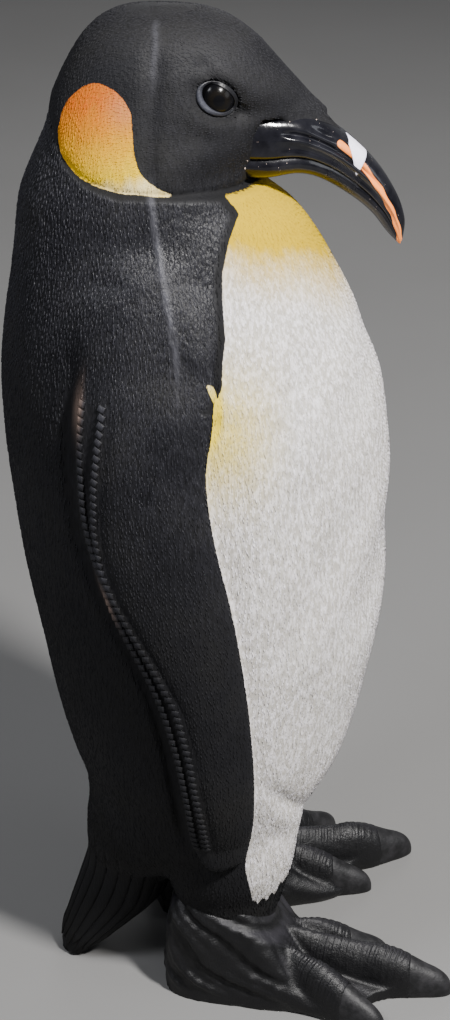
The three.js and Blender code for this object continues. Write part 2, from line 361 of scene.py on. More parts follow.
def core_distance(x, y, z):
    """Head, neck, trunk, legs and tail, without the flippers."""
    lift = above_crease(x, z)
    body = slice_distance(x, y, z, BODY_SLICES)
    head = slice_distance(x, y, z, HEAD_SLICES, HEAD_MIDDLE_X, full_front=True)
    nape = smooth_step(-118, -146, x)
    softness = 2.0 + 26.0 * nape
    share = smooth_step(-1.0, 1.0, lift / softness)
    core = body + (head - body) * share
    columns = held_table(LEG_SLICES, z)
    leg = slice_distance(x, y - columns[3], z, LEG_SLICES, columns=columns)
    core = smooth_join(core, leg, 16.0)
    return smooth_join(core, slice_distance(x, y, z, TAIL_SLICES), 24.0)


def flipper_share(x, y, z):
    """Above zero where the flipper is the outer form, in millimetres."""
    return core_distance(x, y, z) - flipper_distance(x, y, z)


def eye_axes(x, z):
    """From x and z to an eye opening's own axes: forward along its slant, and up across it."""
    x = x - OPENING_CENTRE[0]
    z = z - OPENING_CENTRE[1]
    cos, sin = math.cos(EYE_SLANT), math.sin(EYE_SLANT)
    return x * cos - z * sin, x * sin + z * cos


def furrow_line(z):
    """Where the furrow behind the cheek runs."""
    return -66 + 0.10 * (z - 860)


def head_relief(x, y, z):
    """How far the sculpted face stands out from the plain form, in millimetres."""
    lift = above_crease(x, z)
    nape = 1 - smooth_step(-132, -150, x)
    on_head = smooth_step(-1, 4, lift)
    side = smooth_step(10, 30, y)
    relief = -3.4 * hill(lift, 0.0, 2.0) * nape * smooth_step(4, 20, y)
    relief += -3.4 * np.exp(-np.maximum(lift, 0) / 6.0) * on_head * nape
    relief += 3.2 * hill(x, -22, 30) * hill(z, 838, 17) * side
    relief += 2.0 * hill(x, -112, 20) * hill(z, 848, 26) * side
    furrow = smooth_step(806, 828, z) * smooth_step(932, 905, z) * side
    relief += -3.2 * hill(x, furrow_line(z), 8.0) * furrow
    along, over = eye_axes(x, z)
    relief += 3.0 * hill(over, 18, 6.0) * hill(along, 2, 17) * side
    relief += -4.2 * hill(over, -1, 8) * hill(along, 25, 8) * side
    relief += -2.0 * hill(over, 13, 8) * hill(along, -25, 9) * side
    around = np.hypot(along, over * 1.5)
    relief += -2.2 * hill(around, 22.5, 4.5) * side * smooth_step(9, -3, over)
    relief += 1.6 * hill(over, -23, 7) * hill(along, 2, 18) * side
    relief += -1.4 * hill(x, 22, 14) * hill(z, 862, 8) * side
    return relief


def socket_distance(x, y, z):
    """The hollow that holds an eyeball, an almond in the side view."""
    along, over = eye_axes(x, z)
    depth = np.maximum(40.0 - y, 0)
    return np.hypot(np.hypot(along, over * 1.4), depth) - 17.5


def body_relief(x, y, z):
    """Folds and hollows of the trunk, in millimetres."""
    side = smooth_step(40, 90, y)
    trail = held_table(FLIPPER_SLICES, z)[1]
    relief = -4.5 * hill(x, trail - 5.5, 5.0) * smooth_step(180, 230, z) * smooth_step(668, 615, z) * side
    relief += -3.5 * hill(x, 44 - 0.62 * (z - 235), 9) * hill(z, 232, 34) * smooth_step(25, 60, y)
    relief += 2.5 * hill(x, 30 - 0.62 * (z - 235), 14) * hill(z, 205, 30) * smooth_step(25, 60, y)
    flank = smooth_step(330, 420, z) * smooth_step(640, 560, z) * side
    relief += -3.0 * hill(x, -14 + 0.05 * (z - 500), 18) * flank
    relief += 2.4 * hill(z, 655, 14) * hill(x, -36, 20) * side
    relief += -2.2 * hill(z, 628, 9) * hill(x, -24, 20) * side
    fold = z - (664 - 1.1 * (x + 27))
    relief += (2.6 * hill(fold, 12, 8) - 3.2 * hill(fold, -1, 4)) * hill(x, -34, 13) * side
    dimples = np.sin(x * 0.052 + 0.8) * np.sin(z * 0.034 + y * 0.03)
    dimples = dimples + 0.6 * np.sin(x * 0.09 - z * 0.061 + 2.0)
    relief += 1.6 * dimples * smooth_step(10, 60, x) * smooth_step(200, 260, z) * smooth_step(720, 640, z)
    return relief


def seam_share(x, y, z):
    """How much of the mould line there is at a place on the head or the shoulder."""
    here = smooth_step(632, 730, z) * smooth_step(941, 936, z) * smooth_step(20, 34, y)
    here = here * (1 - 0.9 * smooth_step(800, 830, z) * smooth_step(905, 880, z)) * (1 - 0.45 * (z > 850))
    return hill(x, read_line(SEAM_LINE, z), 2.7) * here


def culmen_point(x, y, z):
    """The thin feathered point that runs down over the bill's top, narrowing to nothing."""
    top = np.interp(x, [53.5, 70.4, 81.4, 91.7, 100.3], [876, 860.5, 849.5, 838.5, 829.5])
    edge = read_line(BILL_TOP_EDGE, x)
    half = 24 * np.clip((101 - x) / 43, 0.03, 1.2) ** 0.75
    share = np.abs(y) / half
    face = z - (top - (top - edge + 2.0) * share**2)
    lean = 2 * (top - edge + 2.0) * share / half
    point = face / np.sqrt(1.6 + lean**2)
    return np.maximum(np.maximum(point, (edge - 9.0 - z) * 0.7), np.maximum(x - 100, 44 - x))


def dress_bill(skin, x, y, z):
    """Cuts the head's skin back from the bill and lays its thin point over the bill's top."""
    edge = read_line(BILL_TOP_EDGE, x)
    cut = np.minimum(np.minimum(x - read_line(BILL_BASE, z), edge - z), z - 800)
    skin = -smooth_join(-skin, -cut, 2.0)
    return smooth_join(skin, culmen_point(x, y, z), 5.0)


def statue_distance(x, y, z, sink=0.7):
    """The whole skin, sunk by the coat's depth."""
    y = np.abs(y)
    core = core_distance(x, y, z) - head_relief(x, y, z) - body_relief(x, y, z)
    core = dress_bill(core, x, y, z)
    fillet = 3.0 + 32.0 * smooth_step(640, 725, z)
    skin = smooth_join(core, flipper_distance(x, y, z), fillet)
    skin = skin - 1.1 * seam_share(x, y, z)
    skin = np.maximum(skin, -socket_distance(x, y, z))
    foot = np.where(z < 30, 0.0, sink)
    return np.maximum(skin + foot, -z)


def skin_at(points, **options):
    return statue_distance(points[:, 0], points[:, 1], points[:, 2], **options)


def slope_of(distance, points, step=0.35):
    """The outward slope of a distance at many points."""
    slope = np.empty_like(points)
    for axis in range(3):
        shift = np.zeros(3)
        shift[axis] = step
        slope[:, axis] = (distance(points + shift) - distance(points - shift)) / (2 * step)
    return slope


def settle(points, distance, rounds=3, reach=2.5):
    """Moves points onto the surface where the distance is zero."""
    for _ in range(rounds):
        slope = slope_of(distance, points)
        size = np.maximum((slope**2).sum(1), 0.09)
        move = (distance(points) / size)[:, None] * slope
        length = np.linalg.norm(move, axis=1, keepdims=True)
        points = points - move * np.minimum(1.0, reach / np.maximum(length, 1e-9))
    return points


# ---- Meshes ----
def surface_net(field, lines):
    """A closed quad mesh where a field on a grid of uneven lines changes sign."""
    cells = tuple(n - 1 for n in field.shape)
    total = np.zeros((int(np.prod(cells)), 3))
    count = np.zeros(int(np.prod(cells)))
    crossings = []
    around = [(-1, -1), (0, -1), (0, 0), (-1, 0)]
    for axis in range(3):
        one = [slice(None)] * 3
        two = [slice(None)] * 3
        one[axis] = slice(None, -1)
        two[axis] = slice(1, None)
        a = field[tuple(one)]
        b = field[tuple(two)]
        index = np.argwhere((a < 0) != (b < 0))
        va = a[tuple(index.T)]
        vb = b[tuple(index.T)]
        share = va / (va - vb)
        place = np.stack([lines[k][index[:, k]] for k in range(3)], 1)
        gap = lines[axis][index[:, axis] + 1] - lines[axis][index[:, axis]]
        place[:, axis] += share * gap
        first, second = (axis + 1) % 3, (axis + 2) % 3
        ring = []
        for da, db in around:
            cell = index.copy()
            cell[:, first] += da
            cell[:, second] += db
            flat = np.ravel_multi_index(cell.T, cells, mode="clip")
            for k in range(3):
                total[:, k] += np.bincount(flat, place[:, k], len(count))
            count += np.bincount(flat, minlength=len(count))
            ring.append(flat)
        ring = np.stack(ring, 1)
        ring[va > 0] = ring[va > 0][:, ::-1]
        crossings.append(ring)
    used = np.flatnonzero(count)
    number = np.full(len(count), -1)
    number[used] = np.arange(len(used))
    points = total[used] / count[used, None]
    return points, number[np.concatenate(crossings)]


def grid_lines(stops, steps):
    """Grid lines that run from stop to stop, each stretch with a spacing of its own."""
    lines = [np.array([stops[0]], float)]
    for low, high, step in zip(stops[:-1], stops[1:], steps):
        lines.append(np.linspace(low, high, max(2, round((high - low) / step)) + 1)[1:])
    return np.concatenate(lines)


def to_frame(points):
    """From the tables' millimetres to the frame's metres."""
    points = np.asarray(points, float)
    return (points - np.array([MIDDLE_X, 0.0, 0.0])) * MM


def to_tables(points):
    """From the frame's metres back to the tables' millimetres."""
    return np.asarray(points, float) / MM + np.array([MIDDLE_X, 0.0, 0.0])


def placed(name, data):
    """A new object in the scene."""
    obj = bpy.data.objects.new(name, data)
    bpy.context.scene.collection.objects.link(obj)
    return obj


def new_mesh_object(name, points, faces):
    """A smooth mesh object at the origin, from table points."""
    mesh = bpy.data.meshes.new(name)
    mesh.from_pydata(to_frame(points).tolist(), [], [list(map(int, f)) for f in faces])
    mesh.validate()
    mesh.shade_smooth()
    return placed(name, mesh)


def vertex_places(mesh):
    """A mesh's vertices in the tables' millimetres."""
    co = np.empty(len(mesh.vertices) * 3, np.float32)
    mesh.vertices.foreach_get("co", co)
    return to_tables(co.reshape(-1, 3))


def store(mesh, name, values, kind="FLOAT"):
    """Writes a value for each vertex."""
    old = mesh.attributes.get(name)
    if old is not None:
        mesh.attributes.remove(old)
    layer = mesh.attributes.new(name, kind, "POINT")
    key = "vector" if kind == "FLOAT_VECTOR" else "value"
    layer.data.foreach_set(key, np.asarray(values, np.float32).ravel())


def fetch(mesh, name):
    """Reads a vector attribute of each vertex."""
    values = np.empty(len(mesh.vertices) * 3, np.float32)
    mesh.attributes[name].data.foreach_get("vector", values)
    return values.reshape(-1, 3)


def attach(obj, slot, *nodes):
    """Rides the piece on the statue and hides the solids that it stands for; its finish is not used."""
    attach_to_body(obj, BODY)
    if nodes:
        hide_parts(*nodes)


def swept_mesh(rings, close_start=True, close_end=True):
    """Points and faces of a tube through rings of equal size, with its ends closed by fans."""
    rings = np.asarray(rings, float)
    steps, around = rings.shape[:2]
    points = rings.reshape(-1, 3).tolist()
    faces = []
    for i in range(steps - 1):
        for j in range(around):
            k = (j + 1) % around
            faces.append((i * around + j, i * around + k, (i + 1) * around + k, (i + 1) * around + j))
    if close_start:
        points.append(rings[0].mean(0).tolist())
        for j in range(around):
            faces.append((len(points) - 1, (j + 1) % around, j))
    if close_end:
        points.append(rings[-1].mean(0).tolist())
        base = (steps - 1) * around
        for j in range(around):
            faces.append((len(points) - 1, base + j, base + (j + 1) % around))
    return np.array(points), faces


def face_outwards(obj, weld=True):
    """Turns a closed mesh right side out by the sign of its volume."""
    form = bmesh.new()
    form.from_mesh(obj.data)
    if weld:
        bmesh.ops.remove_doubles(form, verts=form.verts, dist=1e-6)
    bmesh.ops.recalc_face_normals(form, faces=form.faces)
    if form.calc_volume(signed=True) < 0:
        bmesh.ops.reverse_faces(form, faces=form.faces)
    form.to_mesh(obj.data)
    form.free()
    obj.data.shade_smooth()


# ---- Paint: values at places on the statue, which the skin and its relief share ----
def rounded_outline(outline, steps=5):
    """A closed outline through its corners, with the corners rounded."""
    corners = np.asarray(outline, float)
    rounded = []
    for i, start in enumerate(corners):
        before = corners[i - 1]
        end = corners[(i + 1) % len(corners)]
        after = corners[(i + 2) % len(corners)]
        for t in np.arange(steps) / steps:
            pull = 2 * start + (end - before) * t
            pull = pull + (2 * before - 5 * start + 4 * end - after) * t**2
            rounded.append(0.5 * (pull + (3 * start - before - 3 * end + after) * t**3))
    return np.array(rounded)


def line_distance(x, z, line, closed=False):
    """Distance in the side view to a line of points."""
    line = np.asarray(line, float)
    ends = np.roll(line, -1, axis=0) if closed else line[1:]
    nearest = np.full(x.shape, 1e6)
    for (ax, az), (bx, bz) in zip(line, ends):
        run = max((bx - ax) ** 2 + (bz - az) ** 2, 1e-9)
        t = np.clip(((x - ax) * (bx - ax) + (z - az) * (bz - az)) / run, 0, 1)
        nearest = np.minimum(nearest, np.hypot(x - ax - t * (bx - ax), z - az - t * (bz - az)))
    return nearest


def inside_distance(x, z, outline):
    """Distance to a closed outline in the side view, above zero inside it."""
    inside = np.zeros(x.shape, bool)
    for (ax, az), (bx, bz) in zip(outline, np.roll(outline, -1, axis=0)):
        spans = (az > z) != (bz > z)
        cut = ax + (z - az) / (bz - az if bz != az else 1e-9) * (bx - ax)
        inside ^= spans & (x < cut)
    distance = line_distance(x, z, outline, closed=True)
    return np.where(inside, distance, -distance)


# A sliver of yellow between the shoulder's painted spike and the flipper: x, height.
NOTCH_OUTLINE = [
    (-30, 668), (-24, 666), (-20.5, 655), (-21, 646), (-25, 654),
]


def paint_fields(points):
    """Signed distances and weights of the paint, at places on the statue."""
    x, z = points[:, 0], points[:, 2]
    y = np.abs(points[:, 1])
    lift = above_crease(x, z)
    on_flipper = flipper_share(x, y, z)
    hem = 119 + 4 * np.sin(x * 0.9 + y * 0.35) + 3 * np.sin(x * 0.37 - y * 0.8)
    hem = hem + 14 * smooth_step(30, 50, x)
    border = x - read_line(FRONT_BORDER, z)
    front = np.minimum(border, -lift - 0.5)
    front = np.minimum(front, z - hem)
    front = np.minimum(front, np.where(z < 705, 2.0 - on_flipper, front))
    notch = np.where(y > 60, inside_distance(x, z, NOTCH_OUTLINE), -9.0)
    front = np.maximum(front, np.minimum(notch, 3.0))
    ear = inside_distance(x, z, rounded_outline(EAR_OUTLINE))
    end = read_line(YELLOW_END, x)
    yellow = smooth_step(end - 30, end + 44, z)
    blush = hill(z, 618, 50) * smooth_step(52, -20, x) * 0.8
    lead, trail = held_table(FLIPPER_SLICES, z)[:2]
    blush = np.maximum(blush, 1.3 * hill(z, 634, 42) * smooth_step(16, 4, x - lead))
    worn_spots = np.maximum(hill(z, 640, 20), hill(z, 466, 15))
    brown = hill(x, trail + 1.0, 2.2) * worn_spots * smooth_step(60, 90, y)
    warm = np.clip((897 - z + 0.25 * (x + 100)) / 88, 0, 1)
    pink = hill(x, -86, 14) * hill(z, 876, 16)
    along, over = eye_axes(x, z)
    # Where the strokes stop glinting and the paint is dull: flat-black paint along the collar's edge, and
    # painted shade in the furrow behind the cheek, in the crease under it, in the hollow round the eye,
    # darker towards the bottom and on the lower back. The head's ridges are dulled too.
    flat_and_shaded_parts = (
        0.75 * hill(x, furrow_line(z), 8) * smooth_step(0, 6, lift),
        smooth_step(6, 2, np.abs(lift)) * (x > -140),
        smooth_step(-8, -6, border) * (z > 645) * (lift < 0),
        0.8 * hill(np.hypot(along, over * 1.2), 22, 8) * (y > 20),
        0.72 * smooth_step(600, 400, z) + 0.2 * smooth_step(260, 140, z),
        0.60 * smooth_step(0, 6, lift),
        0.5 * smooth_step(-90, -130, x) * smooth_step(760, 600, z),
    )
    return {
        "front": front,
        "ear": ear,
        "yellow": yellow,
        "blush": blush,
        "brown": brown,
        "warm": warm,
        "pink": pink,
        "flat": np.maximum.reduce(flat_and_shaded_parts),
        "seam": seam_share(x, y, z),
    }


def flow_at(points):
    """Which way the feathers lie, from root to tip."""
    x, y, z = points.T
    side = np.abs(y)
    down = np.stack([np.zeros_like(x), np.zeros_like(x), -np.ones_like(x)], 1)
    lift = above_crease(x, z)
    back = np.stack([x - 80, y * 0.9, 0.85 * (z - 838)], 1)
    back /= np.linalg.norm(back, axis=1, keepdims=True) + 1e-9
    sweep = smooth_step(-10, 30, lift) * smooth_step(-150, -70, x)
    flow = down * (1 - sweep)[:, None] + back * sweep[:, None]
    held = np.clip(z, FLIPPER_SLICES[0][0] + 4, FLIPPER_SLICES[-1][0])
    above, below = read_table(FLIPPER_SLICES, held), read_table(FLIPPER_SLICES, held - 4)
    lean = ((below[0] + below[1]) - (above[0] + above[1])) / 8
    flow[:, 0] += np.where(flipper_share(x, side, z) > 1, lean * 0.8, 0)
    rear = smooth_step(-90, -150, x) * smooth_step(330, 150, z)
    flow[:, 0] += -0.25 * rear
    flow[:, 0] += 0.28 * smooth_step(20, 110, x) * smooth_step(360, 560, z) * (1 - sweep) * 0.5
    flow /= np.linalg.norm(flow, axis=1, keepdims=True) + 1e-9
    return flow


def unwrap(points):
    """The skin's own unwrap: round the figure by its middle line, and along it from hem to crown."""
    x, y, z = points.T
    tail = (x < -45) & (z < 104)
    back, front = held_table(BODY_SLICES, z)[:2]
    middle = np.where(z > 800, -62.0, (back + front) / 2)
    middle = np.where(tail, -115, middle)
    turn = np.arctan2(y, x - middle) / (2 * math.pi) + 0.5
    away = np.hypot(x - middle, y)
    rise = z + away * (1 - 2 * np.clip((z - 100) / 840, 0, 1)) * 0.8
    v = 0.16 + 0.82 * np.clip((rise - 100) / 840, 0, 1)
    u = 0.01 + 0.98 * turn
    legs = (z < 130) & ~tail
    u = np.where(tail, 0.02 + 0.3 * turn, np.where(legs, 0.36 + 0.3 * turn + 0.32 * (y > 0), u))
    v = np.where(tail, 0.01 + 0.13 * np.clip(z / 110, 0, 1), v)
    v = np.where(legs, 0.01 + 0.13 * np.clip(away / 200, 0, 1), v)
    return np.stack([u, v], 1)


REGIONS = ["head", "neck", "back_L", "back_R", "belly_L", "belly_R", "flipper_L", "flipper_R", "legs"]


def region_at(points):
    """Which piece of the coat covers each place, or -1 where the paint is smooth."""
    x, z = points[:, 0], points[:, 2]
    y = np.abs(points[:, 1])
    left = points[:, 1] > 0
    lift = above_crease(x, z)
    trail = held_table(FLIPPER_SLICES, z)[1]
    on_flipper = flipper_share(x, y, z)
    border = x - read_line(FRONT_BORDER, z)

    def sided(name):
        return np.where(left, REGIONS.index(name + "_L"), REGIONS.index(name + "_R"))

    region = np.where(border > 0, sided("belly"), sided("back"))
    region = np.where((z > 650) & (border <= 0), REGIONS.index("neck"), region)
    region = np.where((on_flipper > 1) & (z < 650), sided("flipper"), region)
    region = np.where(z < 175, REGIONS.index("legs"), region)
    region = np.where(lift > 0, REGIONS.index("head"), region)
    bare = (np.abs(lift) < 4.0) & (x > -136)
    bare |= (x < -48) & (z < 112) & (y < 70)
    bare |= z > 939.5
    bare |= (z < 90) & (x > -30)
    bare |= (np.abs(x - read_line(SEAM_LINE, z)) < 3.2) & (z > 655) & (z < 800) & (y > 30)
    bare |= (np.abs(border) < 3.5) & (z > 645) & (lift < 0)
    bare |= (np.abs(on_flipper) < 3.0) & (z < 640) & (z > 190) & (x > -60)
    edging = (x < np.maximum(read_line(ROPE_LINE, z) + 5, trail + 14)) & (x > trail - 9)
    bare |= edging & (z > 190) & (z < 645) & (y > 60)
    bare |= (bill_gap(points) < 2.5) & (x > 10)
    return np.where(bare, -1, region)


def mark_paint(mesh):
    """Stores the paint's values on each vertex of a mesh."""
    for name, values in paint_fields(vertex_places(mesh)).items():
        store(mesh, name, values)


# ---- Node helpers ----
def fill(tree, socket, value):
    """Fills a socket with a link, a colour or a value."""
    if isinstance(value, bpy.types.NodeSocket):
        tree.links.new(value, socket)
    elif socket.type == "RGBA":
        socket.default_value = (*value, 1.0)
    else:
        socket.default_value = value


def add_node(tree, kind, inputs=None, **settings):
    """Adds a node, sets its properties and fills its sockets with values or links."""
    node = tree.nodes.new(kind)
    for key, value in settings.items():
        setattr(node, key, value)
    for key, value in (inputs or {}).items():
        fill(tree, node.inputs[key], value)
    return node


def maths(tree, operation, *values, clamp=False):
    inputs = dict(enumerate(values))
    return add_node(tree, "ShaderNodeMath", inputs, operation=operation, use_clamp=clamp).outputs[0]


def blend_colour(tree, share, first, second):
    node = add_node(tree, "ShaderNodeMix", {0: share, 6: first, 7: second}, data_type="RGBA")
    return node.outputs[2]


def times(tree, first, second):
    """Two vectors, multiplied axis by axis."""
    return add_node(tree, "ShaderNodeVectorMath", {0: first, 1: second}, operation="MULTIPLY").outputs[0]


def attribute(tree, name):
    return add_node(tree, "ShaderNodeAttribute", attribute_name=name).outputs["Fac"]


def noise(tree, place, scale, detail=3.0, stretch=(1.0, 1.0, 1.0)):
    mapping = add_node(tree, "ShaderNodeMapping", {"Vector": place, "Scale": stretch})
    inputs = {"Vector": mapping.outputs[0], "Scale": scale, "Detail": detail, "Roughness": 0.55}
    return add_node(tree, "ShaderNodeTexNoise", inputs).outputs[0]


def ramp(tree, value, *stops):
    """A colour ramp of (place, colour) stops."""
    node = add_node(tree, "ShaderNodeValToRGB", {0: value})
    while len(node.color_ramp.elements) < len(stops):
        node.color_ramp.elements.new(0.5)
    for element, (place, colour) in zip(node.color_ramp.elements, stops):
        element.position = place
        element.color = (*colour, 1.0)
    return node.outputs[0]


def range_of(tree, value, low, high, to_low=0.0, to_high=1.0):
    inputs = {0: value, 1: low, 2: high, 3: to_low, 4: to_high}
    return add_node(tree, "ShaderNodeMapRange", inputs, clamp=True).outputs[0]


def new_material(name):
    """A material with an empty tree, its output and the object's own coordinates."""
    material = bpy.data.materials.new(name)
    material.use_nodes = True
    tree = material.node_tree
    tree.nodes.clear()
    shader = tree.nodes.new("ShaderNodeBsdfPrincipled")
    output = tree.nodes.new("ShaderNodeOutputMaterial")
    tree.links.new(shader.outputs[0], output.inputs[0])
    place = tree.nodes.new("ShaderNodeTexCoord").outputs["Object"]
    return material, tree, shader, place


def bump(tree, shader, height, depth):
    made = add_node(tree, "ShaderNodeBump", {"Height": height, "Distance": depth, "Strength": 1.0})
    tree.links.new(made.outputs[0], shader.inputs["Normal"])


def dress(tree, shader, colour, roughness, specular):
    """Gives a shader its colour and roughness, as links or values, and its specular level."""
    fill(tree, shader.inputs["Base Color"], colour)
    fill(tree, shader.inputs["Roughness"], roughness)
    shader.inputs["Specular IOR Level"].default_value = specular


def new_group(name, inputs, outputs):
    """An empty shader group with named sockets."""
    tree = bpy.data.node_groups.new(name, "ShaderNodeTree")
    kinds = {"vector": "NodeSocketVector", "colour": "NodeSocketColor", "float": "NodeSocketFloat"}
    for label, kind, value in inputs:
        socket = tree.interface.new_socket(label, in_out="INPUT", socket_type=kinds[kind])
        if kind == "colour":
            socket.default_value = (*value, 1.0)
        elif value is not None:
            socket.default_value = value
    for label, kind in outputs:
        tree.interface.new_socket(label, in_out="OUTPUT", socket_type=kinds[kind])
    return tree, tree.nodes.new("NodeGroupInput"), tree.nodes.new("NodeGroupOutput")


def place_group(tree, group, place):
    node = tree.nodes.new("ShaderNodeGroup")
    node.node_tree = group
    tree.links.new(place, node.inputs["Place"])
    return node.outputs


# ---- Finishes ----
def grain_group():
    """Fine carved strokes that run down the figure, whose heights also set the painted shade in their
    grooves, and broad patches of tone.
    """
    tree, start, end = new_group(
        "carved_grain",
        [("Place", "vector", None), ("Fineness", "float", 420.0), ("Stretch", "float", 0.22)],
        [("Height", "float"), ("Patches", "float")],
    )
    place = start.outputs["Place"]
    stretch = add_node(tree, "ShaderNodeCombineXYZ", {0: 1.0, 1: 1.0, 2: start.outputs["Stretch"]})
    scaled = times(tree, place, stretch.outputs[0])
    inputs = {"Vector": scaled, "Scale": start.outputs["Fineness"], "Detail": 2.5, "Roughness": 0.6}
    strokes = add_node(tree, "ShaderNodeTexNoise", inputs)
    patches = noise(tree, place, 16.0, 4.0)
    tree.links.new(strokes.outputs[0], end.inputs["Height"])
    tree.links.new(patches, end.inputs["Patches"])
    return tree


def plumage_group(paint):
    """The statue's paint: black back, pale front, yellow chest and orange patch, by attributes."""
    tree, start, end = new_group(
        "statue_paint",
        [
            ("Place", "vector", None),
            ("Black groove", "colour", paint.black_groove),
            ("Black ridge", "colour", paint.black_ridge),
            ("Pale groove", "colour", paint.pale_groove),
            ("Pale ridge", "colour", paint.pale_ridge),
            ("Chest yellow", "colour", paint.chest_yellow),
            ("Patch orange", "colour", paint.patch_orange),
            ("Patch amber", "colour", paint.patch_amber),
        ],
        [("Colour", "colour"), ("Roughness", "float"), ("Height", "float")],
    )
    place = start.outputs["Place"]
    grain = place_group(tree, bpy.data.node_groups["carved_grain"], place)
    height, patches = grain["Height"], grain["Patches"]
    # Painted light: the stroke ridges are painted lighter as painted highlight, with a little wear, and the
    # low parts of the grain darker as painted shade.
    ridge = attribute(tree, "ridge")
    wear_and_glint = range_of(tree, maths(tree, "ADD", ridge, maths(tree, "MULTIPLY", height, 0.9)), 0.55, 1.5)
    # Where 'flat' is high the ridges get less painted highlight: flat-black paint, and painted shade in
    # hollows and creases and towards the bottom.
    glint_amount = maths(tree, "SUBTRACT", 1.0, attribute(tree, "flat"))
    glint_amount = maths(tree, "MULTIPLY", glint_amount, range_of(tree, patches, 0.35, 0.62, 0.5, 1.15))
    black_glint = maths(tree, "MULTIPLY", wear_and_glint, glint_amount, clamp=True)

    black = blend_colour(tree, black_glint, start.outputs["Black groove"], start.outputs["Black ridge"])
    olive = range_of(tree, patches, 0.42, 0.68)
    black = blend_colour(tree, maths(tree, "MULTIPLY", olive, 0.35), black, (0.0085, 0.0080, 0.0060))
    worms = noise(tree, place, 330.0, 2.0, (1.0, 1.0, 0.42))
    # The pale front: grey in the grooves as painted shade, white on the ridges as painted highlight, with
    # random worm-like tone.
    pale_lit_share = maths(tree, "ADD", wear_and_glint, range_of(tree, worms, 0.36, 0.60, -0.38, 0.16), clamp=True)
    pale = blend_colour(tree, pale_lit_share, start.outputs["Pale groove"], start.outputs["Pale ridge"])
    pale = blend_colour(tree, range_of(tree, patches, 0.5, 0.75, 0.0, 0.25), pale, (0.66, 0.655, 0.64))

    streaks = noise(tree, place, 130.0, 3.0, (1.0, 1.0, 0.16))
    drift = maths(tree, "MULTIPLY", maths(tree, "SUBTRACT", streaks, 0.5), 0.5)
    yellow = attribute(tree, "yellow")
    spread = maths(tree, "MULTIPLY", yellow, maths(tree, "SUBTRACT", 1.0, yellow))
    spread = maths(tree, "MULTIPLY", spread, maths(tree, "MULTIPLY", drift, 4.0))
    yellow = maths(tree, "ADD", yellow, spread)
    yellow = maths(tree, "MULTIPLY", yellow, 1.22, clamp=True)
    # The chest's ridges are painted a deeper gold as painted highlight.
    gold = blend_colour(tree, wear_and_glint, start.outputs["Chest yellow"], (0.46, 0.315, 0.0))
    blush = maths(tree, "MULTIPLY", attribute(tree, "blush"), 0.9, clamp=True)
    pale = blend_colour(tree, blush, pale, (0.58, 0.44, 0.02))
    pale = blend_colour(tree, yellow, pale, gold)

    warm = maths(tree, "ADD", attribute(tree, "warm"), maths(tree, "MULTIPLY", drift, 0.45), clamp=True)
    orange, amber = start.outputs["Patch orange"], start.outputs["Patch amber"]
    orange = blend_colour(tree, range_of(tree, warm, 0.18, 0.55), orange, amber)
    cream = ramp(tree, warm, (0.5, (0.55, 0.29, 0.0)), (0.85, (0.62, 0.41, 0.0)), (1.0, (0.68, 0.57, 0.28)))
    patch = blend_colour(tree, range_of(tree, warm, 0.45, 0.80), orange, cream)
    pink = maths(tree, "MULTIPLY", attribute(tree, "pink"), 0.6)
    patch = blend_colour(tree, pink, patch, (0.40, 0.17, 0.085))
    # The orange patch is painted darker in its grooves as painted shade.
    patch = blend_colour(tree, range_of(tree, wear_and_glint, 0.0, 0.5, 0.38, 0.0), patch, (0.22, 0.12, 0.01))

    wobble = maths(tree, "SUBTRACT", noise(tree, place, 300.0, 2.0), 0.5)
    wobble = maths(tree, "MULTIPLY", wobble, 1.6)
    front = range_of(tree, maths(tree, "ADD", attribute(tree, "front"), wobble), -0.3, 0.3)
    ear = range_of(tree, maths(tree, "ADD", attribute(tree, "ear"), wobble), -0.3, 0.3)
    scuff = range_of(tree, streaks, 0.3, 0.6, 0.3, 1.0)
    scuff = maths(tree, "MULTIPLY", attribute(tree, "seam"), scuff)
    black = blend_colour(tree, scuff, black, (0.048, 0.048, 0.056))
    brown = maths(tree, "MULTIPLY", attribute(tree, "brown"), 0.9)
    black = blend_colour(tree, brown, black, (0.15, 0.105, 0.085))
    colour = blend_colour(tree, front, black, pale)
    colour = blend_colour(tree, ear, colour, patch)
    chips = range_of(tree, attribute(tree, "bill_gap"), 5.0, 1.0)
    chips = maths(tree, "MULTIPLY", chips, noise(tree, place, 240.0, 2.0))
    chips = range_of(tree, chips, 0.60, 0.64)
    colour = blend_colour(tree, chips, colour, (0.62, 0.50, 0.44))
    tree.links.new(colour, end.inputs["Colour"])
    dull = range_of(tree, patches, 0.3, 0.7, 0.40, 0.56)
    dull = maths(tree, "ADD", dull, maths(tree, "MULTIPLY", maths(tree, "MAXIMUM", front, ear), 0.18))
    dull = maths(tree, "ADD", dull, maths(tree, "MULTIPLY", attribute(tree, "flat"), 0.34))
    tree.links.new(dull, end.inputs["Roughness"])
    calm = range_of(tree, attribute(tree, "flat"), 0.0, 0.5, 1.0, 0.55)
    tree.links.new(maths(tree, "MULTIPLY", height, calm), end.inputs["Height"])
    return tree


def plumage_material():
    material = bpy.data.materials.get("painted_plumage")
    if material is not None:
        return material
    grain_group()
    group = plumage_group(bpy.context.scene.statue_paint)
    material, tree, shader, place = new_material("painted_plumage")
    painted = place_group(tree, group, place)
    dress(tree, shader, painted["Colour"], painted["Roughness"], 0.21)
    bump(tree, shader, painted["Height"], 0.0014)
    return material


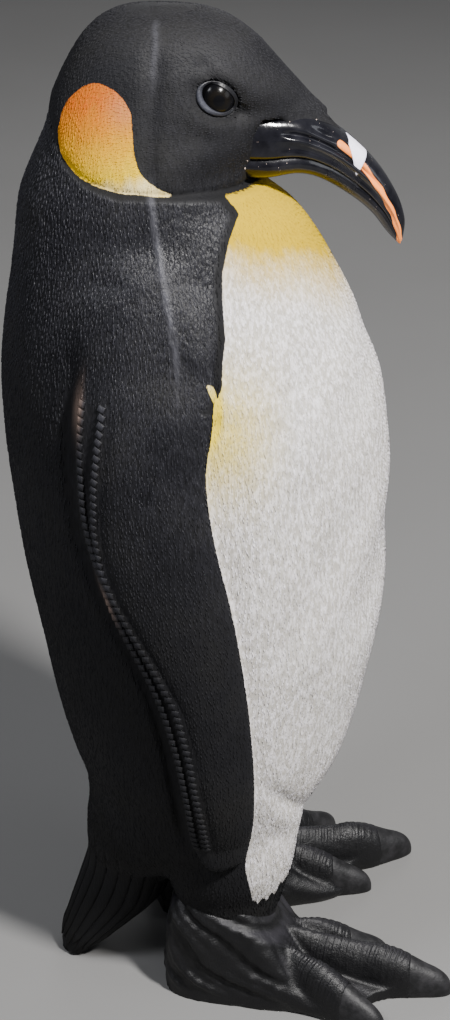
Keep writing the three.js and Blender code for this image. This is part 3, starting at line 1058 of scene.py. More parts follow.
def lacquer_material():
    """Black gloss with an orange stripe, dust and a few small chips."""
    material, tree, shader, place = new_material("bill_lacquer")
    stripe = range_of(tree, attribute(tree, "stripe"), -0.25, 0.25)
    specks = range_of(tree, noise(tree, place, 520.0, 2.0), 0.735, 0.76)
    haze = noise(tree, place, 60.0, 4.0)
    black = blend_colour(tree, range_of(tree, haze, 0.4, 0.7), (0.003, 0.003, 0.0045), (0.009, 0.009, 0.012))
    orange = blend_colour(tree, haze, (0.80, 0.20, 0.035), (0.92, 0.30, 0.06))
    colour = blend_colour(tree, stripe, black, orange)
    colour = blend_colour(tree, specks, colour, (0.50, 0.40, 0.36))
    dress(tree, shader, colour, range_of(tree, haze, 0.35, 0.7, 0.10, 0.22), 0.34)
    shader.inputs["Coat Weight"].default_value = 0.12
    shader.inputs["Coat Roughness"].default_value = 0.05
    bump(tree, shader, noise(tree, place, 240.0), 0.00015)
    return material


def foot_material():
    """Satin black resin with fine pores; its upward-facing ridges and the crests of its toe rings are painted
    lighter as painted highlight, varied in random patches.
    """
    material, tree, shader, place = new_material("foot_paint")
    pores = noise(tree, place, 700.0, 3.0)
    patches = noise(tree, place, 40.0, 4.0)
    wear_and_glint = maths(tree, "ADD", attribute(tree, "ridge"), maths(tree, "MULTIPLY", patches, 0.7))
    wear_and_glint = range_of(tree, wear_and_glint, 0.6, 1.4)
    turns = maths(tree, "MULTIPLY", attribute(tree, "along"), 2 * math.pi / 3.3)
    turns = maths(tree, "ADD", turns, maths(tree, "MULTIPLY", patches, 9.0))
    rings = maths(tree, "MULTIPLY", maths(tree, "SINE", turns), attribute(tree, "crest"))
    rings = maths(tree, "MULTIPLY", rings, range_of(tree, noise(tree, place, 55.0, 2.0), 0.42, 0.60))
    # The ring crests are painted lighter as painted highlight.
    wear_and_glint = maths(tree, "ADD", wear_and_glint, maths(tree, "MULTIPLY", rings, 0.28), clamp=True)
    colour = blend_colour(tree, wear_and_glint, (0.0030, 0.0030, 0.0035), (0.019, 0.018, 0.022))
    dress(tree, shader, colour, range_of(tree, patches, 0.3, 0.7, 0.38, 0.56), 0.30)
    creases = noise(tree, place, 190.0, 3.0)
    height = maths(tree, "ADD", pores, maths(tree, "MULTIPLY", creases, 1.2))
    bump(tree, shader, maths(tree, "ADD", height, maths(tree, "MULTIPLY", rings, 0.5)), 0.0005)
    return material


def claw_material():
    material, tree, shader, place = new_material("claw_paint")
    streaks = noise(tree, place, 90.0, 4.0)
    wear_and_glint = range_of(tree, streaks, 0.4, 0.7)
    colour = blend_colour(tree, wear_and_glint, (0.006, 0.006, 0.0065), (0.016, 0.0155, 0.017))
    dress(tree, shader, colour, range_of(tree, streaks, 0.3, 0.7, 0.42, 0.58), 0.28)
    bump(tree, shader, noise(tree, place, 300.0, 4.0), 0.0004)
    return material


def eye_material():
    """A nearly black, glass-smooth eye with a faint brown ring."""
    material, tree, shader, place = new_material("eye_lacquer")
    iris = attribute(tree, "iris")
    fibre = noise(tree, place, 900.0, 3.0)
    brown = blend_colour(tree, fibre, (0.003, 0.0026, 0.0022), (0.006, 0.005, 0.004))
    colour = blend_colour(tree, range_of(tree, iris, 4.2, 5.4), (0.0025, 0.0025, 0.003), brown)
    colour = blend_colour(tree, range_of(tree, iris, 7.5, 10.5), colour, (0.002, 0.002, 0.0025))
    dress(tree, shader, colour, range_of(tree, fibre, 0.3, 0.7, 0.14, 0.24), 0.13)
    return material


def lid_material():
    material, tree, shader, place = new_material("eyelid_paint")
    grain = noise(tree, place, 420.0, 3.0)
    # The lid's rim is painted lighter below and behind as painted highlight, broken by the grain.
    wear_and_glint = range_of(tree, grain, 0.25, 0.6, 0.5, 1.0)
    wear_and_glint = maths(tree, "MULTIPLY", attribute(tree, "ridge"), wear_and_glint)
    colour = blend_colour(tree, wear_and_glint, (0.004, 0.004, 0.005), (0.046, 0.048, 0.060))
    dress(tree, shader, colour, range_of(tree, grain, 0.3, 0.7, 0.34, 0.48), 0.25)
    bump(tree, shader, grain, 0.00025)
    return material


def paper_material():
    material, tree, shader, place = new_material("label_paper")
    fibre = noise(tree, place, 900.0, 4.0)
    stain = noise(tree, place, 90.0, 3.0)
    colour = blend_colour(tree, range_of(tree, fibre, 0.35, 0.7), (0.82, 0.80, 0.95), (0.90, 0.88, 1.0))
    colour = blend_colour(tree, range_of(tree, stain, 0.55, 0.75, 0.0, 0.35), colour, (0.62, 0.57, 0.52))
    dress(tree, shader, colour, 0.65, 0.5)
    bump(tree, shader, fibre, 0.0001)
    return material


def tape_material():
    material, tree, shader, place = new_material("clear_tape")
    crinkle = noise(tree, place, 190.0, 3.0)
    tree.links.new(range_of(tree, crinkle, 0.35, 0.7, 0.02, 0.05), shader.inputs["Alpha"])
    dress(tree, shader, (0.05, 0.05, 0.055), 0.12, 0.5)
    bump(tree, shader, crinkle, 0.0003)
    return material


def floor_material():
    material, tree, shader, place = new_material("studio_floor")
    shade = noise(tree, place, 3.0, 3.0)
    colour = blend_colour(tree, shade, (0.135, 0.134, 0.131), (0.15, 0.149, 0.147))
    dress(tree, shader, colour, 0.8, 0.5)
    return material


# ---- Sizes and colours a user would change ----
def length_setting(label, text, value):
    return FloatProperty(name=label, description=text, default=value, unit="LENGTH")


def place_setting(label, text, value):
    return FloatVectorProperty(
        name=label,
        description=text,
        default=value,
        subtype="TRANSLATION",
        unit="LENGTH",
    )


def colour_setting(label, text, value):
    return FloatVectorProperty(name=label, description=text, default=value, subtype="COLOR", min=0, max=1)


class StatueSkinSettings(bpy.types.PropertyGroup):
    """Sizes of the skin's mesh and relief."""

    coat_depth: length_setting("Coat depth", "How far the skin lies inside the outer shape", 0.0007)
    mesh_step: length_setting("Mesh step", "Spacing of the skin's mesh on the trunk", 0.0045)


class StatueCoatSettings(bpy.types.PropertyGroup):
    """Sizes of the carved feather strokes."""

    spacing: length_setting("Spacing", "Least distance between two strokes", 0.0030)
    length: length_setting("Length", "Length of a stroke on the back", 0.0070)
    width: length_setting("Width", "Width of a stroke on the back", 0.0021)
    relief: length_setting("Relief", "How far a stroke stands out of the skin", 0.0007)
    seed: IntProperty(name="Seed", description="Seed of the strokes' places", default=11)


class StatuePaintSettings(bpy.types.PropertyGroup):
    """Colours of the statue's paint."""

    # The groove colours stand for painted shade between the strokes, the ridge colours for painted highlight
    # on them.
    black_groove: colour_setting("Black groove", "The black paint between strokes", (0.0028, 0.0028, 0.0036))
    black_ridge: colour_setting("Black ridge", "The black paint on the worn strokes", (0.036, 0.036, 0.045))
    pale_groove: colour_setting("Pale groove", "The front's paint between the strokes", (0.36, 0.34, 0.31))
    pale_ridge: colour_setting("Pale ridge", "The front's paint on the strokes", (0.85, 0.82, 0.87))
    chest_yellow: colour_setting("Chest yellow", "The chest under the bill", (0.36, 0.235, 0.0))
    patch_orange: colour_setting("Patch orange", "The top of the patch behind the cheek", (0.46, 0.09, 0.0))
    patch_amber: colour_setting("Patch amber", "The middle of that patch", (0.49, 0.21, 0.0))


class StatueStageSettings(bpy.types.PropertyGroup):
    """The camera and the studio."""

    camera_place: place_setting("Camera place", "Where the camera stands", (-0.20314, -1.86970, 1.504))
    camera_target: place_setting("Camera target", "Where the camera looks", (-0.00663, 0.0, 0.477))
    lens: FloatProperty(name="Lens", description="Focal length for a picture 36 mm high", default=84.21)
    floor_width: length_setting("Floor width", "Width of the studio floor", 9.0)


# ---- The stage ----
def aim(obj, target):
    heading = Vector(target) - obj.location
    obj.rotation_euler = heading.to_track_quat("-Z", "Y").to_euler()


def soft_light(name, place, target, size, power, colour=(1.0, 1.0, 1.0)):
    light = bpy.data.lights.new(name, "AREA")
    light.shape = "DISK"
    light.size = size
    light.energy = power
    light.color = colour
    obj = placed(name, light)
    obj.location = place
    aim(obj, target)


class STATUE_OT_stage(bpy.types.Operator):
    """Sets up the pale floor, the soft lights and the camera"""

    bl_idname = "statue.stage"
    bl_label = "Stage"

    def execute(self, context):
        settings = context.scene.statue_stage
        half = settings.floor_width / 2
        mesh = bpy.data.meshes.new("floor")
        corners = [(-half, -half, 0), (half, -half, 0), (half, half, 0), (-half, half, 0)]
        mesh.from_pydata(corners, [], [(0, 1, 2, 3)])
        floor = placed("floor", mesh)
        floor.data.materials.append(floor_material())

        middle = (0.0, 0.0, 0.5)
        soft_light("key_light", (1.0, -1.45, 2.55), middle, 0.28, 236.0, (1.0, 0.98, 0.96))
        soft_light("fill_light", (2.4, -1.2, 1.3), middle, 1.4, 16.0, (0.92, 0.95, 1.0))
        soft_light("top_light", (-1.5, -0.9, 2.5), middle, 0.8, 42.0, (0.93, 0.95, 1.0))
        soft_light("back_light", (0.6, 2.3, 1.8), middle, 1.2, 14.0)
        world = bpy.data.worlds.new("studio")
        world.use_nodes = True
        background = world.node_tree.nodes["Background"]
        background.inputs["Color"].default_value = (0.93, 0.95, 1.0, 1.0)
        background.inputs["Strength"].default_value = 0.22
        context.scene.world = world

        camera = bpy.data.cameras.new("camera")
        camera.sensor_fit = "VERTICAL"
        camera.sensor_height = 36.0
        camera.lens = settings.lens
        camera.clip_end = 50.0
        obj = placed("camera", camera)
        obj.location = settings.camera_place
        aim(obj, settings.camera_target)
        context.scene.camera = obj
        return {"FINISHED"}


# ---- The skin ----
class STATUE_OT_skin(bpy.types.Operator):
    """Meshes the statue's skin: head, neck, trunk, tail, legs and flippers in one surface"""

    bl_idname = "statue.skin"
    bl_label = "Skin"

    def execute(self, context):
        settings = context.scene.statue_skin
        step = settings.mesh_step / MM
        sink = settings.coat_depth / MM
        xs = grid_lines([-202, -82, -56, -30, 16, 152], [step, 0.4 * step, step, 0.62 * step, step])
        ys = grid_lines([0, 26, 174], [0.42 * step, 0.85 * step])
        zs = grid_lines([-4, 8, 640, 790, 855, 905, 946], np.array([1.0, 1.1, 0.9, 0.55, 0.5, 0.6]) * step)
        grid = np.meshgrid(xs, ys, zs, indexing="ij")
        half = statue_distance(*grid, sink=sink)
        field = np.concatenate([half[:, :0:-1], half], axis=1)
        points, faces = surface_net(field, [xs, np.concatenate([-ys[:0:-1], ys]), zs])
        points = settle(points, lambda p: skin_at(p, sink=sink))
        skin = new_mesh_object("skin", points, faces)
        mark_paint(skin.data)
        places = vertex_places(skin.data)
        store(skin.data, "flow", flow_at(places), "FLOAT_VECTOR")
        store(skin.data, "region", region_at(places))
        store(skin.data, "ridge", np.full(len(places), 0.30))
        store(skin.data, "bill_gap", bill_gap(places))
        skin.data.materials.append(plumage_material())
        flesh = ["head", "neck", "trunk_upper", "trunk_lower", "tail"]
        flesh += [part + "_" + side for part in ("leg", "flipper") for side in SIDES]
        attach(skin, "black_paint", *flesh)
        return {"FINISHED"}


# ---- The coat: carved strokes all over the skin ----
def stamp_object(name, points, faces):
    """A small form that is copied many times, with its own places stored as its patch."""
    mesh = bpy.data.meshes.new(name)
    mesh.from_pydata(points, [], faces)
    mesh.shade_smooth()
    local = np.array(points)
    local[:, 2] = np.clip(local[:, 2], 0, 1)
    store(mesh, "patch", local, "FLOAT_VECTOR")
    return placed(name, mesh)


def stroke_object():
    """One carved stroke along x, one long, one wide and one high, with its middle at the origin."""
    sunk = -0.6
    points = [
        (-0.5, 0.0, sunk),
        (0.0, 0.5, sunk),
        (0.5, 0.0, sunk),
        (0.0, -0.5, sunk),
        (-0.22, 0.0, 0.8),
        (0.24, 0.0, 1.0),
    ]
    faces = [
        (0, 3, 5, 4),
        (3, 2, 5),
        (2, 1, 5),
        (1, 0, 4, 5),
        (0, 1, 2, 3),
    ]
    return stamp_object("stroke", points, faces)


def new_nodes(name, **sockets):
    """An empty Geometry Nodes tree with named inputs, its start and its end."""
    tree = bpy.data.node_groups.new(name, "GeometryNodeTree")
    for label, kind in {"Geometry": "Geometry", **sockets}.items():
        tree.interface.new_socket(label, in_out="INPUT", socket_type="NodeSocket" + kind)
    tree.interface.new_socket("Geometry", in_out="OUTPUT", socket_type="NodeSocketGeometry")
    return tree, tree.nodes.new("NodeGroupInput").outputs, tree.nodes.new("NodeGroupOutput").inputs


def named_value(tree, name, kind="FLOAT_VECTOR"):
    return add_node(tree, "GeometryNodeInputNamedAttribute", {"Name": name}, data_type=kind).outputs[0]


def keep_vector(tree, geometry, name, value):
    """Stores a vector on each point."""
    node = add_node(
        tree,
        "GeometryNodeStoreNamedAttribute",
        {"Geometry": geometry, "Name": name, "Value": value},
        data_type="FLOAT_VECTOR",
        domain="POINT",
    )
    return node.outputs[0]


def laid_along(tree, upright, forward, turn):
    """A rotation that stands on one vector, faces along another and turns a little about the first."""
    align = "FunctionNodeAlignRotationToVector"
    stood = add_node(tree, align, {"Vector": upright}, axis="Z").outputs[0]
    faced = add_node(tree, align, {"Rotation": stood, "Vector": forward}, axis="X", pivot_axis="Z").outputs[0]
    spin = add_node(tree, "ShaderNodeCombineXYZ", {2: turn}).outputs[0]
    inputs = {"Rotation": faced, "Rotate By": spin}
    return add_node(tree, "FunctionNodeRotateRotation", inputs, rotation_space="LOCAL").outputs[0]


def copies_on(tree, points, original, rotation, scale, finish):
    """Copies of an object on points, realized, in their finish."""
    form = add_node(tree, "GeometryNodeObjectInfo", {"Object": original}).outputs["Geometry"]
    inputs = {"Points": points, "Instance": form, "Rotation": rotation, "Scale": scale}
    copies = add_node(tree, "GeometryNodeInstanceOnPoints", inputs)
    real = add_node(tree, "GeometryNodeRealizeInstances", {"Geometry": copies.outputs[0]})
    inputs = {"Geometry": real.outputs[0], "Material": finish}
    return add_node(tree, "GeometryNodeSetMaterial", inputs).outputs[0]


def coat_tree():
    """Geometry Nodes that set strokes on a skin, along its flow, and realize them."""
    tree, start, end = new_nodes(
        "carved_strokes",
        Region="Float",
        Spacing="Float",
        Length="Float",
        Width="Float",
        Relief="Float",
        Sway="Float",
        Seed="Int",
        Stroke="Object",
        Finish="Material",
    )
    here = add_node(
        tree,
        "FunctionNodeCompare",
        {0: named_value(tree, "region", "FLOAT"), 1: start["Region"], "Epsilon": 0.5},
        data_type="FLOAT",
        operation="EQUAL",
    )
    scatter = add_node(
        tree,
        "GeometryNodeDistributePointsOnFaces",
        {
            "Mesh": start["Geometry"],
            "Selection": here.outputs[0],
            "Distance Min": start["Spacing"],
            "Density Max": 320000.0,
            "Seed": start["Seed"],
        },
        distribute_method="POISSON",
    )
    place = tree.nodes.new("GeometryNodeInputPosition").outputs[0]
    normal = scatter.outputs["Normal"]
    rooted = keep_vector(tree, scatter.outputs["Points"], "root", place)
    rooted = keep_vector(tree, rooted, "lie", normal)
    back_sway = maths(tree, "MULTIPLY", start["Sway"], -1.0)
    sway = add_node(
        tree,
        "FunctionNodeRandomValue",
        {2: back_sway, 3: start["Sway"], "Seed": start["Seed"]},
        data_type="FLOAT",
    )
    turned = laid_along(tree, normal, named_value(tree, "flow"), sway.outputs[1])
    inputs = {0: start["Length"], 1: start["Width"], 2: start["Relief"]}
    size = add_node(tree, "ShaderNodeCombineXYZ", inputs).outputs[0]
    vary = add_node(
        tree,
        "FunctionNodeRandomValue",
        {0: (0.7, 0.75, 0.45), 1: (1.25, 1.2, 1.25), "Seed": start["Seed"]},
        data_type="FLOAT_VECTOR",
    )
    scale = times(tree, size, vary.outputs[0])
    done = copies_on(tree, rooted, start["Stroke"], turned, scale, start["Finish"])
    tree.links.new(done, end[0])
    return tree


def run_nodes(obj, tree, values):
    """Runs a Geometry Nodes tree on an object and keeps its result as a plain mesh."""
    modifier = obj.modifiers.new(tree.name, "NODES")
    modifier.node_group = tree
    for item in tree.interface.items_tree:
        if item.in_out == "INPUT" and item.name in values:
            modifier[item.identifier] = values[item.name]
    graph = bpy.context.evaluated_depsgraph_get()
    made = bpy.data.meshes.new_from_object(
        obj.evaluated_get(graph),
        preserve_all_data_layers=True,
        depsgraph=graph,
    )
    obj.modifiers.remove(modifier)
    obj.data = made
    return made


def lay_on_skin(mesh, sink):
    """Bends the strokes to the skin: each point keeps its height above it, as over a flat one."""
    root = to_tables(fetch(mesh, "root"))
    normal = fetch(mesh, "lie")
    places = vertex_places(mesh)
    height = ((places - root) * normal).sum(1)
    off = np.clip(height - skin_at(places, sink=sink), -2.5, 2.5)
    laid = to_frame(places + normal * off[:, None])
    laid[:, 2] = np.maximum(laid[:, 2], 0.0004)
    mesh.vertices.foreach_set("co", laid.astype(np.float32).ravel())
    mesh.update()


def coat_map(mesh):
    """A UV map with each stroke as a small patch at its root's place on the skin's unwrap."""
    patch_width = 0.003
    root = unwrap(to_tables(fetch(mesh, "root")))
    local = fetch(mesh, "patch")[:, :2]
    corners = np.empty(len(mesh.loops), np.int32)
    mesh.loops.foreach_get("vertex_index", corners)
    layer = mesh.uv_layers.new(name="OFBake")
    places = (root + patch_width * local)[corners]
    layer.data.foreach_set("uv", np.clip(places, 0.0, 1.0).astype(np.float32).ravel())


def finish_coat(coat, ridge_low, ridge_gain):
    """Stores the paint, the painted highlight of the ridges and the bake map on a piece of the coat."""
    mesh = coat.data
    mark_paint(mesh)
    store(mesh, "ridge", ridge_low + ridge_gain * fetch(mesh, "patch")[:, 2])
    store(mesh, "bill_gap", bill_gap(vertex_places(mesh)))
    coat_map(mesh)
    mesh.shade_smooth()


# Each part of the coat: spacing, length, width and relief as shares of the back's, sway, slot.
COATS = {
    "head": (0.68, 0.80, 0.66, 0.66, 0.30, "black_paint"),
    "neck": (0.92, 1.1, 1.0, 1.1, 0.16, "black_paint"),
    "back_L": (1.1, 1.1, 1.1, 1.0, 0.14, "black_paint"),
    "back_R": (1.1, 1.1, 1.1, 1.0, 0.14, "black_paint"),
    "belly_L": (1.0, 0.95, 1.05, 0.85, 0.34, "white_paint"),
    "belly_R": (1.0, 0.95, 1.05, 0.85, 0.34, "white_paint"),
    "flipper_L": (0.95, 0.9, 0.9, 0.8, 0.22, "black_paint"),
    "flipper_R": (0.95, 0.9, 0.9, 0.8, 0.22, "black_paint"),
    "legs": (1.0, 1.0, 1.1, 1.0, 0.3, "black_paint"),
}


class STATUE_OT_coat(bpy.types.Operator):
    """Covers the skin with carved feather strokes that lie along the body"""

    bl_idname = "statue.coat"
    bl_label = "Coat"

    def execute(self, context):
        settings = context.scene.statue_coat
        skin = bpy.data.objects["skin"]
        sink = context.scene.statue_skin.coat_depth / MM
        stroke = stroke_object()
        tree = coat_tree()
        for name, (spacing, length, width, relief, sway, slot) in COATS.items():
            coat = placed("coat_" + name, skin.data)
            values = {
                "Region": float(REGIONS.index(name)),
                "Spacing": settings.spacing * spacing,
                "Length": settings.length * length,
                "Width": settings.width * width,
                "Relief": settings.relief * relief,
                "Sway": sway,
                "Seed": settings.seed,
                "Stroke": stroke,
                "Finish": plumage_material(),
            }
            mesh = run_nodes(coat, tree, values)
            mesh.name = coat.name
            lay_on_skin(mesh, sink)
            finish_coat(coat, 0.1, 0.9)
            attach(coat, slot)
        bpy.data.objects.remove(stroke)
        return {"FINISHED"}


def scale_object():
    """One raised scale, one long, one wide and one high, with its middle at the origin."""
    across = np.array([-1.0, -0.72, 0.0, 0.72, 1.0])
    points = []
    for u in across:
        for v in across:
            dome = math.sqrt(max(1 - u**4, 0) * max(1 - v**4, 0))
            points.append((0.5 * u, 0.5 * v, dome - 0.05))
    faces = [(5 * i + j, 5 * i + j + 5, 5 * i + j + 6, 5 * i + j + 1) for i in range(4) for j in range(4)]
    rim = [0, 5, 10, 15, 20, 21, 22, 23, 24, 19, 14, 9, 4, 3, 2, 1]
    floor = len(points)
    points += [(points[k][0], points[k][1], -1.0) for k in rim]
    for k in range(16):
        n = (k + 1) % 16
        faces.append((rim[k], floor + k, floor + n, rim[n]))
    faces.append(tuple(range(floor + 15, floor - 1, -1)))
    scale = stamp_object("scale", points, faces)
    face_outwards(scale)
    return scale


def row_tree():
    """Geometry Nodes that set scales along a line, upright on the skin under it, and realize them."""
    tree, start, end = new_nodes(
        "scale_row",
        Pitch="Float",
        Size="Vector",
        Slant="Float",
        Scale="Object",
        Finish="Material",
    )
    curve = add_node(tree, "GeometryNodeMeshToCurve", {"Mesh": start["Geometry"]}).outputs[0]
    inputs = {"Curve": curve, "Length": start["Pitch"]}
    even = add_node(tree, "GeometryNodeResampleCurve", inputs, mode="LENGTH").outputs[0]
    place = tree.nodes.new("GeometryNodeInputPosition").outputs[0]
    rooted = keep_vector(tree, even, "root", place)
    tangent = tree.nodes.new("GeometryNodeInputTangent").outputs[0]
    turned = laid_along(tree, named_value(tree, "lie"), tangent, start["Slant"])
    done = copies_on(tree, rooted, start["Scale"], turned, start["Size"], start["Finish"])
    tree.links.new(done, end[0])
    return tree


def row_line(name, side, xs, zs, sink):
    """A chain of edges on the flipper's outer face, with the skin's own upright at each point."""

    def distance(points):
        return skin_at(points, sink=sink)

    def inside(ys):
        return distance(np.stack([xs, ys, zs], 1)) < 0

    ys = halve(np.full(len(xs), 60.0), np.full(len(xs), 190.0), inside, 20)
    points = np.stack([xs, ys, zs], 1)
    lie = slope_of(distance, points, 1.5)
    lie /= np.linalg.norm(lie, axis=1, keepdims=True)
    turn = np.array([1, side, 1])
    mesh = bpy.data.meshes.new(name)
    mesh.from_pydata(to_frame(points * turn).tolist(), [(i, i + 1) for i in range(len(xs) - 1)], [])
    store(mesh, "lie", lie * turn, "FLOAT_VECTOR")
    return placed(name, mesh)


class STATUE_OT_scales(bpy.types.Operator):
    """Sets the two rows of raised scales along each flipper's trailing edge"""

    bl_idname = "statue.scales"
    bl_label = "Flipper scales"

    def execute(self, context):
        sink = context.scene.statue_skin.coat_depth / MM
        scale = scale_object()
        tree = row_tree()
        zs = np.linspace(646, 205, 90)
        rim = read_table(FLIPPER_SLICES, zs)[1] + 3.0
        rope = read_line(ROPE_LINE, zs)
        for name, side in SIDES.items():
            for kind, xs, size, slant in (
                ("rim", rim, (0.0060, 0.0066, 0.0007), 0.25 * side),
                ("rope", rope, (0.0060, 0.0072, 0.0009), 0.45 * side),
            ):
                row = row_line("coat_" + kind + "_" + name, side, xs, zs, sink)
                values = {
                    "Pitch": 0.0072,
                    "Size": size,
                    "Slant": slant,
                    "Scale": scale,
                    "Finish": plumage_material(),
                }
                mesh = run_nodes(row, tree, values)
                mesh.name = row.name
                finish_coat(row, 0.2, 1.0)
                attach(row, "black_paint")
        bpy.data.objects.remove(scale)
        return {"FINISHED"}


VANE_COUNT = 17
VANE_TOP = 158.0


def vane_rings(middle, number):
    """One long tail vane: rings from its root under the back to its round end near the floor."""
    end = 5.0 + 7.0 * (number % 2) + 3.0 * (number % 3)
    tip = np.sin(np.linspace(0, math.pi / 2, 9)[1:])
    shares = np.concatenate([np.linspace(0, 0.86, 20), 0.86 + 0.14 * tip])
    rings = []
    for share in shares:
        z = VANE_TOP + (end - VANE_TOP) * share
        back, front, half = read_table(TAIL_SLICES, np.array(z))
        radius = ((front - back) / 2 + half) / 2
        left = np.clip((1 - share) / 0.13, 0.0016, 1)
        width = 2.9 / VANE_COUNT * np.sqrt(1 - (1 - left) ** 2)
        across = np.array([-1.0, -0.6, -0.2, 0.2, 0.6, 1.0, 0.5, -0.5])
        rise = np.array([0.05, 0.75, 1.0, 0.95, 0.6, 0.05, -0.9, -0.9])
        turn = middle + across * width
        x = (back + front) / 2 - (front - back) / 2 * np.cos(turn)
        y = half * np.sin(turn)
        lean = np.stack([-np.cos(turn) / (front - back) * 2, np.sin(turn) / half, np.zeros(8)], 1)
        lean /= np.linalg.norm(lean, axis=1, keepdims=True)
        high = (-0.6 + 2.4 * smooth_step(0.05, 0.5, share)) * rise * min(1.0, radius / 30)
        rings.append((np.stack([x, y, np.full(8, z)], 1), lean, high))
    return rings


class STATUE_OT_tail(bpy.types.Operator):
    """Lays long vanes down the tail, side by side round it"""

    bl_idname = "statue.tail"
    bl_label = "Tail vanes"

    def execute(self, context):
        sink = context.scene.statue_skin.coat_depth / MM
        points, faces, roots, patches = [], [], [], []
        for number, middle in enumerate(np.linspace(-2.5, 2.5, VANE_COUNT)):
            rings = vane_rings(middle, number)
            places = np.array([ring[0] for ring in rings])
            lean = np.array([ring[1] for ring in rings]).reshape(-1, 3)
            high = np.array([ring[2] for ring in rings]).ravel()
            flat = places.reshape(-1, 3)
            off = np.clip(skin_at(flat, sink=sink), -12, 3)
            flat = flat + lean * (high - off)[:, None]
            flat[:, 2] = np.maximum(flat[:, 2], 0.5)
            tube, tube_faces = swept_mesh(flat.reshape(places.shape))
            shift = len(points)
            points += tube.tolist()
            faces += [[shift + k for k in face] for face in tube_faces]
            roots += [places[0].mean(0)] * len(tube)
            along = np.linspace(-0.5, 0.5, len(tube))
            lift = np.concatenate([np.clip(high / 2.0, 0, 1), [0, 0]])
            patches += np.stack([along, np.tile([0.4, -0.4], len(tube))[: len(tube)], lift], 1).tolist()
        tail = new_mesh_object("coat_tail", points, faces)
        store(tail.data, "root", to_frame(roots), "FLOAT_VECTOR")
        store(tail.data, "patch", patches, "FLOAT_VECTOR")
        face_outwards(tail, weld=False)
        tail.data.materials.append(plumage_material())
        finish_coat(tail, 0.05, 0.5)
        attach(tail, "black_paint")
        return {"FINISHED"}


# ---- The bill ----
STRIPE_LINE = [(93, 827), (113, 806), (129, 783), (141, 760), (147.5, 741), (149.5, 729)]


def bill_sections(v):
    rows = [(i / (len(BILL_SLICES) - 1), *row) for i, row in enumerate(BILL_SLICES)]
    return read_table(rows, v)


def bill_round(v, turn):
    """A bill section's side and lift, from -1 to 1: boxy at the root, rounder towards the tip."""
    power = 3.0 - 0.9 * smooth_step(0.3, 0.7, v)
    side, lift = np.cos(turn), np.sin(turn)
    size = (np.abs(side) ** power + np.abs(lift) ** power) ** (1 / power)
    return side / size, lift / size


def bill_point(v, turn, spread=0.0, shrink=1.0):
    """Points on the bill: v runs from root to tip, turn is 0 on the left side and rises over the top."""
    top_x, top_z, low_x, low_z, half = bill_sections(v)
    side, lift = bill_round(v, turn)
    reach = np.hypot(top_x - low_x, top_z - low_z) / 2
    scale = 0.5 * (1 + spread / reach) * lift * shrink
    x = (top_x + low_x) / 2 + (top_x - low_x) * scale
    z = (top_z + low_z) / 2 + (top_z - low_z) * scale
    y = (half + spread) * side * shrink
    return np.stack([x, y, z], -1)


def bill_relief(v, turn):
    """Grooves and ridges of the lacquered bill, in millimetres."""
    share = 0.5 + 0.5 * bill_round(v, turn)[1]
    fade = smooth_step(0.16, 0.22, v) * smooth_step(0.60, 0.40, v)
    groove = 0.74 - 0.06 * v
    relief = -3.2 * hill(share, groove, 0.036) * fade
    ridge = smooth_step(0.14, 0.24, v) * smooth_step(0.9, 0.6, v)
    relief = relief + 1.7 * hill(share, groove - 0.10, 0.045) * ridge
    hollow = smooth_step(0.16, 0.26, v) * smooth_step(0.8, 0.5, v)
    relief = relief - 0.8 * hill(share, groove - 0.22, 0.05) * hollow
    relief = relief - 0.3 * hill(share, 0.28, 0.06) * smooth_step(0.12, 0.2, v) * smooth_step(0.8, 0.5, v)
    slit = hill(v, 0.308, 0.036) * hill(share, 0.875, 0.050)
    rim = hill(v, 0.308, 0.060) * hill(share, 0.88, 0.090)
    return relief + 1.2 * rim - 4.2 * slit


def bill_half(name, v, upper):
    """The upper or lower half of the bill, closed along the mouth line."""
    outer, inner = 96, 10
    edge = math.atan2(2 * GAPE_SHARE - 1, 0.985)
    if upper:
        turns = np.linspace(edge, math.pi - edge, outer)
    else:
        turns = np.linspace(math.pi - edge, 2 * math.pi + edge, outer)
    t = np.linspace(0, 1, outer)
    tuck, spread = (0.05, 0.02) if upper else (0.13, 0.05)
    lip = 1 - tuck * (hill(t, 0, spread) + hill(t, 1, spread))
    rings = []
    for place in v:
        column = np.full(outer, place)
        half = bill_sections(column)[4]
        out = 1 + bill_relief(column, turns) / np.maximum(half, 4.0)
        ring = bill_point(column, turns, shrink=lip * out)
        closing = np.linspace(0, 1, inner + 2)[1:-1, None]
        chord = ring[-1] + (ring[0] - ring[-1]) * closing
        chord[:, 2] += (0.35 if upper else -0.35) * np.sin(math.pi * closing[:, 0])
        rings.append(np.concatenate([ring, chord]))
    points, faces = swept_mesh(rings)
    obj = new_mesh_object(name, points, faces)
    face_outwards(obj)
    places = vertex_places(obj.data)
    stripe = 2.45 - line_distance(places[:, 0], places[:, 2], STRIPE_LINE)
    stripe += 0.35 * np.sin(places[:, 2] * 0.33)
    store(obj.data, "stripe", np.where(np.abs(places[:, 1]) > 0.6, stripe, -1))
    return obj


def bill_gap(points):
    """Distance from places on the head to the bill's surface, in millimetres."""
    v, turn = np.meshgrid(np.linspace(0, 1, 90), np.linspace(0, 2 * math.pi, 72), indexing="ij")
    cloud = bill_point(v.ravel(), turn.ravel())
    tree = KDTree(len(cloud))
    for i, p in enumerate(cloud):
        tree.insert(p, i)
    tree.balance()
    gaps = np.full(len(points), 30.0)
    near = (points[:, 2] > 780) & (points[:, 0] > 0)
    gaps[near] = [tree.find(p)[2] for p in points[near]]
    return gaps


